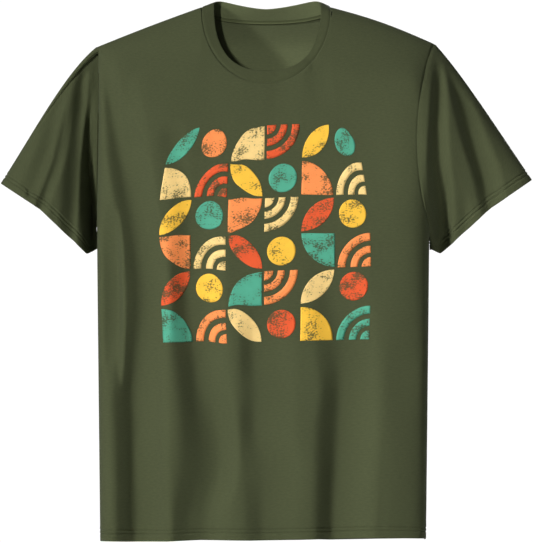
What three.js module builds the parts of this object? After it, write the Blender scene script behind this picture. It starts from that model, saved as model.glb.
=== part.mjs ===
// A plain crew-neck short-sleeved T-shirt in the shape that it has when it is worn, hollow inside.
// Millimetres, +Z up, front towards -Y. The origin is midway between the two high shoulder points,
// where the collar seam meets the shoulder seams. Left and right are the wearer's own, so the
// wearer's right sleeve is on the -X side.
import * as THREE from "three";

// Driving dimensions of the body, as worn.
const BODY_LENGTH = 745; // high shoulder point to hem
const SHOULDER_HALF = 235; // centre to the end of the shoulder seam
const ARMPIT_DROP = 306;
const CHEST_HALF = 236; // half the width of the body tube at shoulder height
const HEM_HALF = 228;
const BODY_SHIFT = 4; // the body hangs this far to the wearer's right of the neck
const BODY_SHIFT_START = 130; // drop at which that shift begins
const SIDE_ROUNDING = 3.2; // exponent of the level sections, 2 is an ellipse
const SHOULDER_ROLL = 95; // how far below the shoulder line the body reaches its full depth

// Neck and collar.
const NECK_HALF = 91;
const NECK_ROUNDING = 2.2;
const FRONT_NECK_DROP = 107;
const BACK_NECK_DROP = 19;
const COLLAR_FRONT_RISE = 18.5;
const COLLAR_BACK_RISE = 15.5;
const COLLAR_SIDE_REACH = 21; // how far the band leans in over the shoulder
const COLLAR_SIDE_LIFT = 7;
const COLLAR_FRONT_LEAN = 6;
const COLLAR_BACK_LEAN = 11;
const COLLAR_LIFT_POWER = 8; // the side lift is felt only close to the shoulders

// Cloth and seams. The jersey is drawn at twice its real thickness, so that it makes a sound solid.
const JERSEY = 1.2;
const RIB = 2;
const TAPE = 0.8;
const SEAM_GAP = 0.5; // where a seam bends sharply the pieces come within 0.2 of each other
const LAYER_GAP = 0.5;
const HEM_HEIGHT = 22;
const TAPE_HEIGHT = 7;

// How finely the cloth is divided.
const SHOULDER_COLUMNS = 9;
const NECK_COLUMNS = 22;
const COLUMNS = 2 * SHOULDER_COLUMNS + NECK_COLUMNS;
const BODY_ROWS = 12;
const ARMHOLE_ROWS = 11;
const SLEEVE_ROWS = 6;
const COLLAR_ROWS = 3;
const ROWS = 1 + BODY_ROWS + ARMHOLE_ROWS;
const LIFT_START = 0.3; // share of the rows above which they bend towards the top edge
const ARMHOLE_POWER = 6; // how quickly an armhole's curve dies out across the rows

// Half depth of the body, front and back, at drops below the high shoulder point.
const FRONT_DEPTHS = [
  [0, 40],
  [60, 54],
  [107, 68],
  [180, 82],
  [290, 90],
  [450, 87],
  [745, 90],
];
const BACK_DEPTHS = [
  [0, 54],
  [60, 72],
  [120, 83],
  [210, 89],
  [340, 85],
  [500, 82],
  [745, 88],
];

// Each armhole seam, seen from the front: how far the curve's two handles lie from the centre line,
// and the two corners of the cuff. The shoulder seam above it drops from the high shoulder point
// and rises over a straight line by a crown.
const RIGHT_SLEEVE = {
  side: -1,
  shoulderDrop: 55,
  shoulderSlope: 0.85, // how steeply the sleeve leaves the shoulder
  shoulderCrown: 1,
  handleLow: 221,
  handleHigh: 222,
  cuffOuter: [371, 245],
  cuffInner: [253, 346],
  cuffHalfDepth: 55,
};
const LEFT_SLEEVE = {
  side: 1,
  shoulderDrop: 51,
  shoulderSlope: 1.4,
  shoulderCrown: 4,
  handleLow: 205,
  handleHigh: 208,
  cuffOuter: [372, 243],
  cuffInner: [240, 347],
  cuffHalfDepth: 48,
};
const HANDLE_LOW_DROP = 215;
const HANDLE_HIGH_DROP = 120;
const ARMPIT_SLOPE = 0.63; // how steeply the sleeve leaves the armpit
const SLEEVE_BULGE = 0.33; // how far it leaves the armhole forwards and backwards
const SLEEVE_FULLNESS = 0.7;

// Hanging folds. Each runs down the panel along its valley, which is given as [across, drop] points,
// and deepens on the way, as its [drop, depth] pairs say. The cloth falls into it over a short steep
// width and climbs out of it over a long one.
const FRONT_FOLDS = [
  {
    valley: [[-222, 90], [-205, 170], [-190, 300], [-187, 740]],
    depths: [[90, 0], [180, 18], [410, 20], [600, 32], [740, 37]],
    steep: 44,
    long: 70,
  },
  {
    valley: [[-109, 240], [-106, 540], [-98, 740]],
    depths: [[200, 0], [410, 13], [560, 19], [740, 20]],
    steep: 40,
    long: 90,
  },
  { valley: [[-22, 410], [-21, 740]], depths: [[410, 0], [500, 8], [740, 9]], steep: 30, long: 76 },
  {
    valley: [[72, 340], [92, 540], [92, 740]],
    depths: [[340, 0], [470, 12], [560, 22], [740, 31]],
    steep: 44,
    long: 76,
  },
  { valley: [[193, 380], [193, 740]], depths: [[380, 0], [480, 4], [740, 4]], steep: 34, long: 36 },
];
const BACK_FOLDS = [
  {
    valley: [[200, 120], [188, 300], [180, 740]],
    depths: [[120, 0], [300, 9], [460, 12], [740, 14]],
    steep: 40,
    long: 90,
  },
  { valley: [[60, 420], [48, 740]], depths: [[410, 0], [550, 6], [740, 9]], steep: 40, long: 90 },
  {
    valley: [[-70, 380], [-84, 560], [-90, 740]],
    depths: [[360, 0], [530, 7], [740, 11]],
    steep: 40,
    long: 90,
  },
  {
    valley: [[-206, 140], [-192, 300], [-188, 740]],
    depths: [[150, 0], [300, 6], [740, 8]],
    steep: 40,
    long: 60,
  },
];
const FOLD_SIDE_FADE = 0.5; // folds are whole where the body has this share of its depth
const CREASE_DROP = 235; // below this the underside of a sleeve lies folded against the body

function smooth(value) {
  const clamped = Math.min(Math.max(value, 0), 1);
  return clamped * clamped * (3 - 2 * clamped);
}

// The value of a table of [position, value] pairs at a position, eased between its rows.
function alongTable(table, position) {
  let index = 0;
  while (index < table.length - 2 && position > table[index + 1][0]) {
    index += 1;
  }
  const [start, first] = table[index];
  const [end, second] = table[index + 1];
  const share = Math.min(Math.max((position - start) / (end - start), 0), 1);
  return first + (second - first) * (0.5 * share + 0.5 * smooth(share));
}

// Half the width of the body tube, and where its middle lies, at a drop below the shoulder point.
function bodyHalf(drop) {
  return CHEST_HALF + (HEM_HALF - CHEST_HALF) * (drop / BODY_LENGTH);
}

function bodyMiddle(drop) {
  return -BODY_SHIFT * smooth((drop - BODY_SHIFT_START) / (ARMPIT_DROP - BODY_SHIFT_START));
}

// How far the shoulder line lies below the high shoulder point, this far from the centre.
function shoulderLine(across) {
  const sleeve = across < 0 ? RIGHT_SLEEVE : LEFT_SLEEVE;
  const out = Math.max(Math.abs(across) - NECK_HALF, 0) / (SHOULDER_HALF - NECK_HALF);
  return sleeve.shoulderDrop * out - sleeve.shoulderCrown * Math.sin(Math.PI * Math.min(out, 1));
}

// How deep the folds are at a place on a panel.
function foldDepth(folds, across, drop) {
  let total = 0;
  for (const fold of folds) {
    const line = fold.valley.map(([place, level]) => [level, place]);
    const past = across - alongTable(line, drop);
    const rise = past < 0 ? smooth(1 + past / fold.steep) : 1 - smooth(past / fold.long);
    total += alongTable(fold.depths, drop) * rise;
  }
  return total;
}

// A point of the front (facing -1) or back (facing 1) of the body.
function bodyPoint(facing, across, drop) {
  const depths = facing < 0 ? FRONT_DEPTHS : BACK_DEPTHS;
  const folds = facing < 0 ? FRONT_FOLDS : BACK_FOLDS;
  const share = Math.min(Math.abs(across - bodyMiddle(drop)) / bodyHalf(drop), 1);
  const section = (1 - share ** SIDE_ROUNDING) ** (1 / SIDE_ROUNDING);
  const below = Math.min((drop - shoulderLine(across)) / SHOULDER_ROLL, 1);
  const roll = Math.sqrt(Math.max(1 - (1 - below) ** 2, 0));
  const edgeFade = smooth(section / FOLD_SIDE_FADE);
  const depth = alongTable(depths, drop) * section * roll;
  const fold = foldDepth(folds, across, drop) * edgeFade * roll;
  return new THREE.Vector3(across, facing * (depth - fold), -drop);
}

// A place on the armhole seam as seen from the front, from the armpit (0) to the shoulder (1).
function armholePlace(sleeve, share) {
  const rest = 1 - share;
  const weights = [rest ** 3, 3 * rest * rest * share, 3 * rest * share * share, share ** 3];
  const across = [bodyHalf(ARMPIT_DROP), sleeve.handleLow, sleeve.handleHigh, SHOULDER_HALF];
  const drops = [ARMPIT_DROP, HANDLE_LOW_DROP, HANDLE_HIGH_DROP, sleeve.shoulderDrop];
  const mix = (values) => values.reduce((sum, value, i) => sum + value * weights[i], 0);
  return [sleeve.side * mix(across) + bodyMiddle(mix(drops)), mix(drops)];
}

// The side edge of a panel at a row: the hem, the side seam and then the armhole.
function sidePlace(sleeve, row) {
  if (row >= 1 + BODY_ROWS) {
    return armholePlace(sleeve, (row - 1 - BODY_ROWS) / ARMHOLE_ROWS);
  }
  const hemTop = BODY_LENGTH - HEM_HEIGHT;
  const drop = row === 0 ? BODY_LENGTH : hemTop + ((ARMPIT_DROP - hemTop) * (row - 1)) / BODY_ROWS;
  return [sleeve.side * bodyHalf(drop) + bodyMiddle(drop), drop];
}

// The top edge of a panel at a column: shoulder seam, neckline, shoulder seam.
function topPlace(facing, column) {
  const fromEnd = Math.min(column, COLUMNS - column);
  const side = column < COLUMNS / 2 ? -1 : 1;
  if (fromEnd <= SHOULDER_COLUMNS) {
    const share = fromEnd / SHOULDER_COLUMNS;
    const across = side * (SHOULDER_HALF + (NECK_HALF - SHOULDER_HALF) * share);
    return [across, shoulderLine(across)];
  }
  const angle = (Math.PI * (column - SHOULDER_COLUMNS)) / NECK_COLUMNS;
  const neckDrop = facing < 0 ? FRONT_NECK_DROP : BACK_NECK_DROP;
  const power = 2 / NECK_ROUNDING;
  const across = -Math.sign(Math.cos(angle)) * NECK_HALF * Math.abs(Math.cos(angle)) ** power;
  return [across, neckDrop * Math.sin(angle) ** power];
}

// Half the width of the body at a row, before the armholes curve in.
function rowHalf(row) {
  const [, drop] = sidePlace(RIGHT_SLEEVE, row);
  const above = Math.max((row - 1 - BODY_ROWS) / ARMHOLE_ROWS, 0);
  const atArmpit = bodyHalf(Math.max(drop, ARMPIT_DROP));
  return atArmpit + (SHOULDER_HALF - atArmpit) * above;
}

// The front or back panel as a net of points, from the hem (row 0) to the neckline and shoulders.
// The inward curve of an armhole dies out quickly away from the side edge.
function panelNet(facing) {
  const net = [];
  for (let row = 0; row <= ROWS; row += 1) {
    const [rightEdge, rightDrop] = sidePlace(RIGHT_SLEEVE, row);
    const [leftEdge, leftDrop] = sidePlace(LEFT_SLEEVE, row);
    const half = rowHalf(row);
    const middle = bodyMiddle(rightDrop);
    const lift = smooth((row / ROWS - LIFT_START) / (1 - LIFT_START));
    const line = [];
    for (let column = 0; column <= COLUMNS; column += 1) {
      const turn = -Math.cos((Math.PI * column) / COLUMNS);
      const between = (right, left) => right + ((left - right) * (turn + 1)) / 2;
      const [topAcross, topDrop] = topPlace(facing, column);
      const inward = turn < 0 ? rightEdge - middle + half : leftEdge - middle - half;
      const level = middle + turn * half + inward * turn ** ARMHOLE_POWER;
      const across = level + lift * (topAcross - turn * SHOULDER_HALF);
      const tipDrop = between(RIGHT_SLEEVE.shoulderDrop, LEFT_SLEEVE.shoulderDrop);
      const drop = between(rightDrop, leftDrop) + lift * (topDrop - tipDrop);
      line.push(bodyPoint(facing, across, drop));
    }
    net.push(line);
  }
  return net;
}

// The closed seam of one armhole, up the front from the armpit and down the back to it again.
function armholeLoop(sleeve, front, back) {
  const column = sleeve.side < 0 ? 0 : COLUMNS;
  const loop = [];
  for (let row = 1 + BODY_ROWS; row <= ROWS; row += 1) {
    loop.push(front[row][column]);
  }
  for (let row = ROWS - 1; row > 1 + BODY_ROWS; row -= 1) {
    loop.push(back[row][column]);
  }
  return loop;
}

// A sleeve as a net of points, from the armhole (row 0) to the cuff. Each line of it leaves the
// armhole outwards and comes to the cuff along the arm.
function sleeveNet(sleeve, front, back) {
  const loop = armholeLoop(sleeve, front, back);
  const place = ([across, drop]) => new THREE.Vector3(sleeve.side * across, 0, -drop);
  const outer = place(sleeve.cuffOuter);
  const inner = place(sleeve.cuffInner);
  const centre = outer.clone().add(inner).multiplyScalar(0.5);
  const toOuter = outer.clone().sub(centre);
  const arm = new THREE.Vector3(-toOuter.z, 0, toOuter.x).normalize();
  arm.multiplyScalar(-Math.sign(arm.z));
  const half = loop.length / 2;
  const net = [];
  for (let row = 0; row <= SLEEVE_ROWS + 1; row += 1) {
    net.push([]);
  }
  loop.forEach((start, index) => {
    const angle = (Math.PI * index) / half;
    const cuff = centre.clone().addScaledVector(toOuter, -Math.cos(angle));
    cuff.y -= sleeve.cuffHalfDepth * Math.sin(angle);
    const length = cuff.distanceTo(start);
    const low = (1 + Math.cos(angle)) / 2; // 1 at the armpit, 0 at the shoulder
    const chord = cuff.clone().sub(start).normalize();
    const slope = sleeve.shoulderSlope + (ARMPIT_SLOPE - sleeve.shoulderSlope) * low;
    const leave = new THREE.Vector3(sleeve.side, -SLEEVE_BULGE * Math.sin(angle), -slope);
    leave.normalize().multiplyScalar(length * SLEEVE_FULLNESS);
    const arrive = arm.clone().lerp(chord, low ** 3).normalize().multiplyScalar(length);
    // Near the armpit the sleeve is too short for a whole hem, which narrows there.
    const hemShare = 1 - HEM_HEIGHT / Math.max(length, 2 * HEM_HEIGHT);
    for (let row = 0; row <= SLEEVE_ROWS + 1; row += 1) {
      const t = row > SLEEVE_ROWS ? 1 : (hemShare * row) / SLEEVE_ROWS;
      const point = start.clone().multiplyScalar(2 * t ** 3 - 3 * t * t + 1);
      point.addScaledVector(leave, t ** 3 - 2 * t * t + t);
      point.addScaledVector(cuff, 3 * t * t - 2 * t ** 3);
      point.addScaledVector(arrive, t ** 3 - t * t);
      net[row].push(point);
    }
  });
  return net;
}

// The collar band as a net of points, from the neck seam (row 0) to its free edge, once round.
function collarNet(front, back) {
  const seam = [];
  for (let i = 0; i < NECK_COLUMNS; i += 1) {
    seam.push([front[ROWS][SHOULDER_COLUMNS + i], COLLAR_FRONT_RISE, COLLAR_FRONT_LEAN]);
  }
  for (let i = 0; i < NECK_COLUMNS; i += 1) {
    seam.push([back[ROWS][COLUMNS - SHOULDER_COLUMNS - i], COLLAR_BACK_RISE, -COLLAR_BACK_LEAN]);
  }
  const net = [];
  for (let row = 0; row <= COLLAR_ROWS; row += 1) {
    const share = row / COLLAR_ROWS;
    net.push(
      seam.map(([point, rise, lean]) => {
        const out = point.x / NECK_HALF;
        const middle = 1 - out * out;
        const step = new THREE.Vector3(
          -COLLAR_SIDE_REACH * out,
          lean * middle,
          rise * middle + COLLAR_SIDE_LIFT * out ** COLLAR_LIFT_POWER,
        );
        return point.clone().addScaledVector(step, share);
      }),
    );
  }
  return net;
}

function pointKey(point) {
  return [point.x, point.y, point.z].map((value) => Math.round(value * 100)).join(" ");
}

// Adds a net's outward directions to a map from point to direction. Nets that share a map share
// their directions where they meet, so the two sides of a seam stay parallel.
function addOutward(outward, net, closed, turned) {
  const count = net[0].length;
  for (let row = 0; row < net.length - 1; row += 1) {
    for (let column = 0; column < (closed ? count : count - 1); column += 1) {
      const next = (column + 1) % count;
      const corners = [net[row][column], net[row][next], net[row + 1][next], net[row + 1][column]];
      const first = corners[2].clone().sub(corners[0]);
      const normal = first.cross(corners[3].clone().sub(corners[1]));
      normal.multiplyScalar(turned ? -1 : 1);
      for (const key of new Set(corners.map(pointKey))) {
        outward.set(key, (outward.get(key) ?? new THREE.Vector3()).add(normal));
      }
    }
  }
}

// A net's points moved in from the seams along its edges by half the gap between two pieces.
function insetNet(net, closed, edges) {
  const lastRow = net.length - 1;
  const lastColumn = net[0].length - 1;
  return net.map((line, row) =>
    line.map((point, column) => {
      const moved = point.clone();
      const towards = [];
      if (row === 0 && edges.start) towards.push(net[1][column]);
      if (row === lastRow && edges.end) towards.push(net[lastRow - 1][column]);
      if (!closed && column === 0) towards.push(line[1]);
      if (!closed && column === lastColumn) towards.push(line[lastColumn - 1]);
      for (const other of towards) {
        moved.addScaledVector(other.clone().sub(point).normalize(), SEAM_GAP / 2);
      }
      return moved;
    }),
  );
}

// A closed solid between two nets of the same size, the outer one first. Each four-sided patch is
// split along its shorter diagonal, the same way in both layers.
function solidBetween(outer, inner, closed, turned) {
  const rows = outer.length;
  const columns = outer[0].length;
  const positions = [];
  for (const net of [outer, inner]) {
    for (const point of net.flat()) {
      positions.push(point.x, point.y, point.z);
    }
  }
  const triangles = [];
  const triangle = (a, b, c) => {
    triangles.push(a, turned ? c : b, turned ? b : c);
  };
  const at = (layer, row, column) => layer * rows * columns + row * columns + (column % columns);
  const wall = (a, b, c, d) => {
    triangle(a, b, c);
    triangle(a, c, d);
  };
  const patch = (row, column) => {
    const next = (column + 1) % columns;
    const across = outer[row][column].distanceTo(outer[row + 1][next]);
    const shift = across <= outer[row][next].distanceTo(outer[row + 1][column]) ? 0 : 1;
    const corners = [[row, column], [row, next], [row + 1, next], [row + 1, column]];
    const [a, b, c, d] = corners.map((_, i) => corners[(i + shift) % corners.length]);
    for (const [first, second, third] of [[a, b, c], [a, c, d]]) {
      triangle(at(0, ...first), at(0, ...second), at(0, ...third));
      triangle(at(1, ...first), at(1, ...third), at(1, ...second));
    }
  };
  const last = rows - 1;
  for (let column = 0; column < (closed ? columns : columns - 1); column += 1) {
    const next = column + 1;
    for (let row = 0; row < last; row += 1) {
      patch(row, column);
    }
    wall(at(1, 0, column), at(1, 0, next), at(0, 0, next), at(0, 0, column));
    wall(at(0, last, column), at(0, last, next), at(1, last, next), at(1, last, column));
  }
  const end = columns - 1;
  for (let row = 0; row < (closed ? 0 : last); row += 1) {
    wall(at(0, row, 0), at(0, row + 1, 0), at(1, row + 1, 0), at(1, row, 0));
    wall(at(1, row, end), at(1, row + 1, end), at(0, row + 1, end), at(0, row, end));
  }
  const geometry = new THREE.BufferGeometry();
  geometry.setAttribute("position", new THREE.Float32BufferAttribute(positions, 3));
  geometry.setIndex(triangles);
  geometry.computeVertexNormals();
  return geometry;
}

// Lets a sleeve and the body share their directions along the armhole, except low down, where the
// underside of the sleeve folds back against the body and each keeps its own.
function joinOutward(bodyOutward, sleeveOutward, seam) {
  for (const key of seam.filter((point) => -point.z < CREASE_DROP).map(pointKey)) {
    const sum = bodyOutward.get(key).clone().add(sleeveOutward.get(key));
    bodyOutward.set(key, sum);
    sleeveOutward.set(key, sum);
  }
}

// The outward directions at a net's points.
function directionsOf(net, outward) {
  return net.map((line) => line.map((point) => outward.get(pointKey(point)).clone().normalize()));
}

// A net of points sunk below another along the outward directions.
function sunk(net, directions, depth) {
  return net.map((line, row) =>
    line.map((point, column) => point.clone().addScaledVector(directions[row][column], -depth)),
  );
}

// A strip of a net between two rows, part of the way from the first towards the second.
function strip(net, fromRow, toRow, startShare, endShare) {
  return [startShare, endShare].map((share) =>
    net[fromRow].map((point, column) => point.clone().lerp(net[toRow][column], share)),
  );
}

const jersey = { color: 0x4d5339, roughness: 0.95, metalness: 0 };
const rib = { color: 0x4a5037, roughness: 0.96, metalness: 0 };
const tape = { color: 0x474d35, roughness: 0.97, metalness: 0 };

const shirt = new THREE.Group();

function addMesh(name, geometry, finish) {
  const mesh = new THREE.Mesh(geometry, new THREE.MeshStandardMaterial(finish));
  mesh.name = name;
  shirt.add(mesh);
}

// One layer of cloth, and the hem turned up inside it where it has one.
function addCloth(name, net, options) {
  const directions = directionsOf(net, options.outward);
  const skin = insetNet(net, options.closed, options.edges);
  const inner = sunk(skin, directions, options.thickness);
  addMesh(name, solidBetween(skin, inner, options.closed, options.turned), options.finish);
  if (!options.hem) {
    return;
  }
  const [edgeRow, foldRow] = options.hem.rows;
  const order = edgeRow < foldRow ? [0, 1] : [1, 0];
  const rowsOf = (source) => order.map((i) => source[options.hem.rows[i]]);
  const near = sunk(rowsOf(skin), rowsOf(directions), options.thickness + LAYER_GAP);
  const far = sunk(near, rowsOf(directions), options.thickness);
  addMesh(options.hem.name, solidBetween(near, far, options.closed, options.turned), options.finish);
}

const front = panelNet(-1);
const back = panelNet(1);
const rightSleeve = sleeveNet(RIGHT_SLEEVE, front, back);
const leftSleeve = sleeveNet(LEFT_SLEEVE, front, back);
const collar = collarNet(front, back);

const bodyOutward = new Map();
const rightOutward = new Map();
const leftOutward = new Map();
addOutward(bodyOutward, front, false, false);
addOutward(bodyOutward, back, false, true);
addOutward(bodyOutward, collar, true, false);
addOutward(rightOutward, rightSleeve, true, false);
addOutward(leftOutward, leftSleeve, true, true);
joinOutward(bodyOutward, rightOutward, rightSleeve[0]);
joinOutward(bodyOutward, leftOutward, leftSleeve[0]);

const panelEdges = { start: false, end: true };
const seamStart = { start: true, end: false };
const cuffRows = [SLEEVE_ROWS + 1, SLEEVE_ROWS];

addCloth("front_panel", front, {
  outward: bodyOutward,
  closed: false,
  turned: false,
  thickness: JERSEY,
  finish: jersey,
  edges: panelEdges,
  hem: { name: "front_hem", rows: [0, 1] },
});
addCloth("back_panel", back, {
  outward: bodyOutward,
  closed: false,
  turned: true,
  thickness: JERSEY,
  finish: jersey,
  edges: panelEdges,
  hem: { name: "back_hem", rows: [0, 1] },
});
addCloth("right_sleeve", rightSleeve, {
  outward: rightOutward,
  closed: true,
  turned: false,
  thickness: JERSEY,
  finish: jersey,
  edges: seamStart,
  hem: { name: "right_cuff_hem", rows: cuffRows },
});
addCloth("left_sleeve", leftSleeve, {
  outward: leftOutward,
  closed: true,
  turned: true,
  thickness: JERSEY,
  finish: jersey,
  edges: seamStart,
  hem: { name: "left_cuff_hem", rows: cuffRows },
});
addCloth("collar", collar, {
  outward: bodyOutward,
  closed: true,
  turned: false,
  thickness: RIB,
  finish: rib,
  edges: seamStart,
});

// The tape that covers the neck seam inside the back of the neck.
function addNeckTape() {
  const neck = back.slice(ROWS - 1).map((line) =>
    line.slice(SHOULDER_COLUMNS + 1, COLUMNS - SHOULDER_COLUMNS),
  );
  const directions = directionsOf(neck, bodyOutward);
  const skin = insetNet(neck, true, panelEdges);
  const below = TAPE_HEIGHT / neck[0][0].distanceTo(neck[1][0]);
  const near = strip(sunk(skin, directions, JERSEY + LAYER_GAP), 1, 0, below, 0);
  const far = strip(sunk(skin, directions, JERSEY + LAYER_GAP + TAPE), 1, 0, below, 0);
  addMesh("neck_tape", solidBetween(near, far, false, true), tape);
}
addNeckTape();

export default shirt;
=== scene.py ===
# %% [markdown]
# # A crew-neck T-shirt, as it hangs when it is worn
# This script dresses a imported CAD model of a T-shirt. The model gives every piece its size and
# place, and the script makes the cloth: panels with hanging folds, a rib collar, turned-up hems,
# seams, stitches and a printed chest. Everything is in metres, in the frame of the model: +Z is up,
# the front of the shirt faces -Y, and left and right are the wearer's own.

# %% Load the frame
import math

import bpy
import numpy as np
from mathutils import Matrix, Vector


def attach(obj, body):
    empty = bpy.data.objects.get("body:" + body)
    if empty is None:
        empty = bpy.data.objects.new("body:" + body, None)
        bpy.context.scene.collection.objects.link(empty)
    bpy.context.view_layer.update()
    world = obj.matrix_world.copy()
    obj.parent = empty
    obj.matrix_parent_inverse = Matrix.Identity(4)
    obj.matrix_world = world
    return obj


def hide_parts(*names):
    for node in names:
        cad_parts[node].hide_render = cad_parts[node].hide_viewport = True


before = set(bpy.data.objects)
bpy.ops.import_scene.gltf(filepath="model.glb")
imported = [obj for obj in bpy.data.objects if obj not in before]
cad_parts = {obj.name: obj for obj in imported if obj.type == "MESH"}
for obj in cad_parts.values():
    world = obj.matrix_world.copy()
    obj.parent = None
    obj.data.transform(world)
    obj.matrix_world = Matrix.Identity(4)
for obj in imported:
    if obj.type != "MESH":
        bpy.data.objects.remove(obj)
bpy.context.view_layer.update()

print("nodes:", sorted(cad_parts))

# %% [markdown]
# ## The studio
# The shirt is seen straight from the front through a long lens, so its outline hardly shows any
# perspective. A pixel of the photo is taken as 1.4 mm on the shirt. The camera stands thirty metres
# off, and its lens is worked out from the height of the picture.

# %% Camera
PIXEL = 0.0014
PICTURE = (533, 542)
CENTRE_COLUMN = 266.0  # the column of the photo where across is 0
NECK_ROW = 6.5  # the row of the photo where the drop is 0
CAMERA_DISTANCE = 30.0
SENSOR = 36.0


def add_camera():
    data = bpy.data.cameras.new("studio_camera")
    camera = bpy.data.objects.new("studio_camera", data)
    bpy.context.scene.collection.objects.link(camera)
    across = (PICTURE[0] / 2 - CENTRE_COLUMN) * PIXEL
    height = (NECK_ROW - PICTURE[1] / 2) * PIXEL
    camera.location = (across, -CAMERA_DISTANCE, height)
    camera.rotation_euler = (math.pi / 2, 0, 0)
    data.sensor_width = SENSOR
    data.lens = SENSOR * CAMERA_DISTANCE / (PICTURE[1] * PIXEL)
    data.clip_end = 100
    bpy.context.scene.camera = camera
    print("lens:", round(data.lens), "mm")


add_camera()

# %% [markdown]
# The shirt hangs in a pale studio over a round floor. Soft light comes from all round, and a large
# lamp on the left leaves the walls of the folds that face right dark. A narrow lamp brightens the
# sleeve on the right, an oval one in the neck lights the inside of the back and leaves a dark rim on
# the left, and one stands behind. Four light the floor, and their cones end short of the shirt. The
# studio's far walls are a white band along the horizon.

# %% Floor and lamps
FLOOR_HEIGHT = -0.80
FLOOR_RADIUS = 3.9
HORIZON_BAND = 0.03  # the sine of the angle that the band reaches up and down


def deselect_all():
    if bpy.context.object and bpy.context.object.mode != "OBJECT":
        bpy.ops.object.mode_set(mode="OBJECT")
    bpy.ops.object.select_all(action="DESELECT")


def plain_material(name, colour, roughness=0.9):
    material = bpy.data.materials.new(name)
    material.use_nodes = True
    shader = material.node_tree.nodes["Principled BSDF"]
    shader.inputs["Base Color"].default_value = (*colour, 1)
    shader.inputs["Roughness"].default_value = roughness
    return material


def add_floor():
    bpy.ops.mesh.primitive_circle_add(
        vertices=96, radius=FLOOR_RADIUS, fill_type="NGON", location=(0, 0, FLOOR_HEIGHT)
    )
    floor = bpy.context.object
    floor.name = "studio_floor"
    bpy.ops.object.transform_apply(location=True, rotation=True, scale=True)
    floor.data.materials.append(plain_material("studio_white", (0.9, 0.9, 0.9)))


def add_lamp(name, place, aim, size, power, spread, height=None):
    """A square lamp, or an oval one of this height."""
    data = bpy.data.lights.new(name, "AREA")
    data.shape = "ELLIPSE" if height else "SQUARE"
    data.size = size
    data.size_y = height or size
    data.energy = power
    data.spread = math.radians(spread)
    lamp = bpy.data.objects.new(name, data)
    bpy.context.scene.collection.objects.link(lamp)
    lamp.location = place
    lamp.rotation_euler = (Vector(aim) - Vector(place)).to_track_quat("-Z", "Y").to_euler()


def light_world(dim, bright):
    """A studio with dim light from all round, whose walls are bright along the horizon."""
    world = bpy.data.worlds.new("studio_world")
    world.use_nodes = True
    nodes = world.node_tree.nodes
    links = world.node_tree.links
    background = nodes["Background"]
    background.inputs["Color"].default_value = (1, 1, 1, 1)
    direction = nodes.new("ShaderNodeTexCoord")
    split = nodes.new("ShaderNodeSeparateXYZ")
    steepness = nodes.new("ShaderNodeMath")
    steepness.operation = "ABSOLUTE"
    strength = nodes.new("ShaderNodeMapRange")
    strength.inputs["From Min"].default_value = HORIZON_BAND
    strength.inputs["From Max"].default_value = HORIZON_BAND * 1.5
    strength.inputs["To Min"].default_value = bright
    strength.inputs["To Max"].default_value = dim
    links.new(direction.outputs["Generated"], split.inputs[0])
    links.new(split.outputs["Z"], steepness.inputs[0])
    links.new(steepness.outputs[0], strength.inputs["Value"])
    links.new(strength.outputs[0], background.inputs["Strength"])
    bpy.context.scene.world = world


add_floor()
add_lamp("key_lamp", (-5.7, -6.4, 2.5), (0.45, 0, -0.52), 1.2, 13.9, 20)
add_lamp("right_lamp", (3.5, -5.0, -0.6), (0.37, 0, -0.20), 0.3, 0.08, 6)
add_lamp("neck_lamp", (0.0068, 0.010, -0.0033), (0.0068, 0.110, -0.0246), 0.14, 0.058, 5, 0.153)
add_lamp("back_lamp", (0.9, 6.0, 1.0), (0, 0, -0.35), 1.0, 5.5, 20)
for across in (-3.4, 3.4):
    for along in (-3.4, 3.4):
        add_lamp("floor_lamp", (across, along, 2.6), (across, along, 0), 1.0, 9, 100)
light_world(0.16, 1.05)
bpy.context.scene.view_settings.view_transform = "Standard"

# %% [markdown]
# ## The shape of the shirt
# The cloth is worked out from the same few measures as the model: how long and wide the body is, how
# deep it is at each height, where the armholes and the neck lie, and where each cuff ends. Places on
# the body are given as across, from the middle towards the wearer's left, and drop, down from the
# point where the shoulder seam meets the collar.

# %% Measures of the body
BODY_LENGTH = 0.745
SHOULDER_HALF = 0.235
ARMPIT_DROP = 0.306
CHEST_HALF = 0.236
HEM_HALF = 0.228
BODY_SHIFT = 0.004
BODY_SHIFT_START = 0.130
SIDE_ROUNDING = 5.2
SHOULDER_ROLL = 0.095
NECK_HALF = 0.091
NECK_ROUNDING = 2.05
FRONT_NECK_DROP = 0.1077
BACK_NECK_DROP = 0.0185
FRONT_DEPTHS = np.array([
    (0, 0.040), (0.060, 0.054), (0.107, 0.068), (0.180, 0.082),
    (0.290, 0.090), (0.450, 0.087), (0.745, 0.090),
])
BACK_DEPTHS = np.array([
    (0, 0.054), (0.060, 0.072), (0.120, 0.083), (0.210, 0.089),
    (0.340, 0.085), (0.500, 0.082), (0.745, 0.088),
])
RIGHT_SLEEVE = {
    "side": -1, "shoulder_drop": 0.055, "shoulder_crown": 0.001, "shoulder_slope": 0.74,
    "handle_low": 0.2370, "handle_high": 0.2375,
    "cuff_outer": (0.371, 0.247), "cuff_inner": (0.2336, 0.337), "cuff_half_depth": 0.055,
    "cuff_droop": 0.016,
}
LEFT_SLEEVE = {
    "side": 1, "shoulder_drop": 0.051, "shoulder_crown": 0.004, "shoulder_slope": 1.05,
    "handle_low": 0.205, "handle_high": 0.208,
    "cuff_outer": (0.372, 0.242), "cuff_inner": (0.2290, 0.340), "cuff_half_depth": 0.048,
    "cuff_droop": 0.013,
}
HANDLE_LOW_DROP = 0.215
HANDLE_HIGH_DROP = 0.120
ARMPIT_SLOPE = 0.63
UNDERARM_SLOPE = 4.0  # steeper still at the very bottom, where the sleeve hangs beside the body
SLEEVE_BULGE = 0.33
SLEEVE_FULLNESS = 0.7
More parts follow.
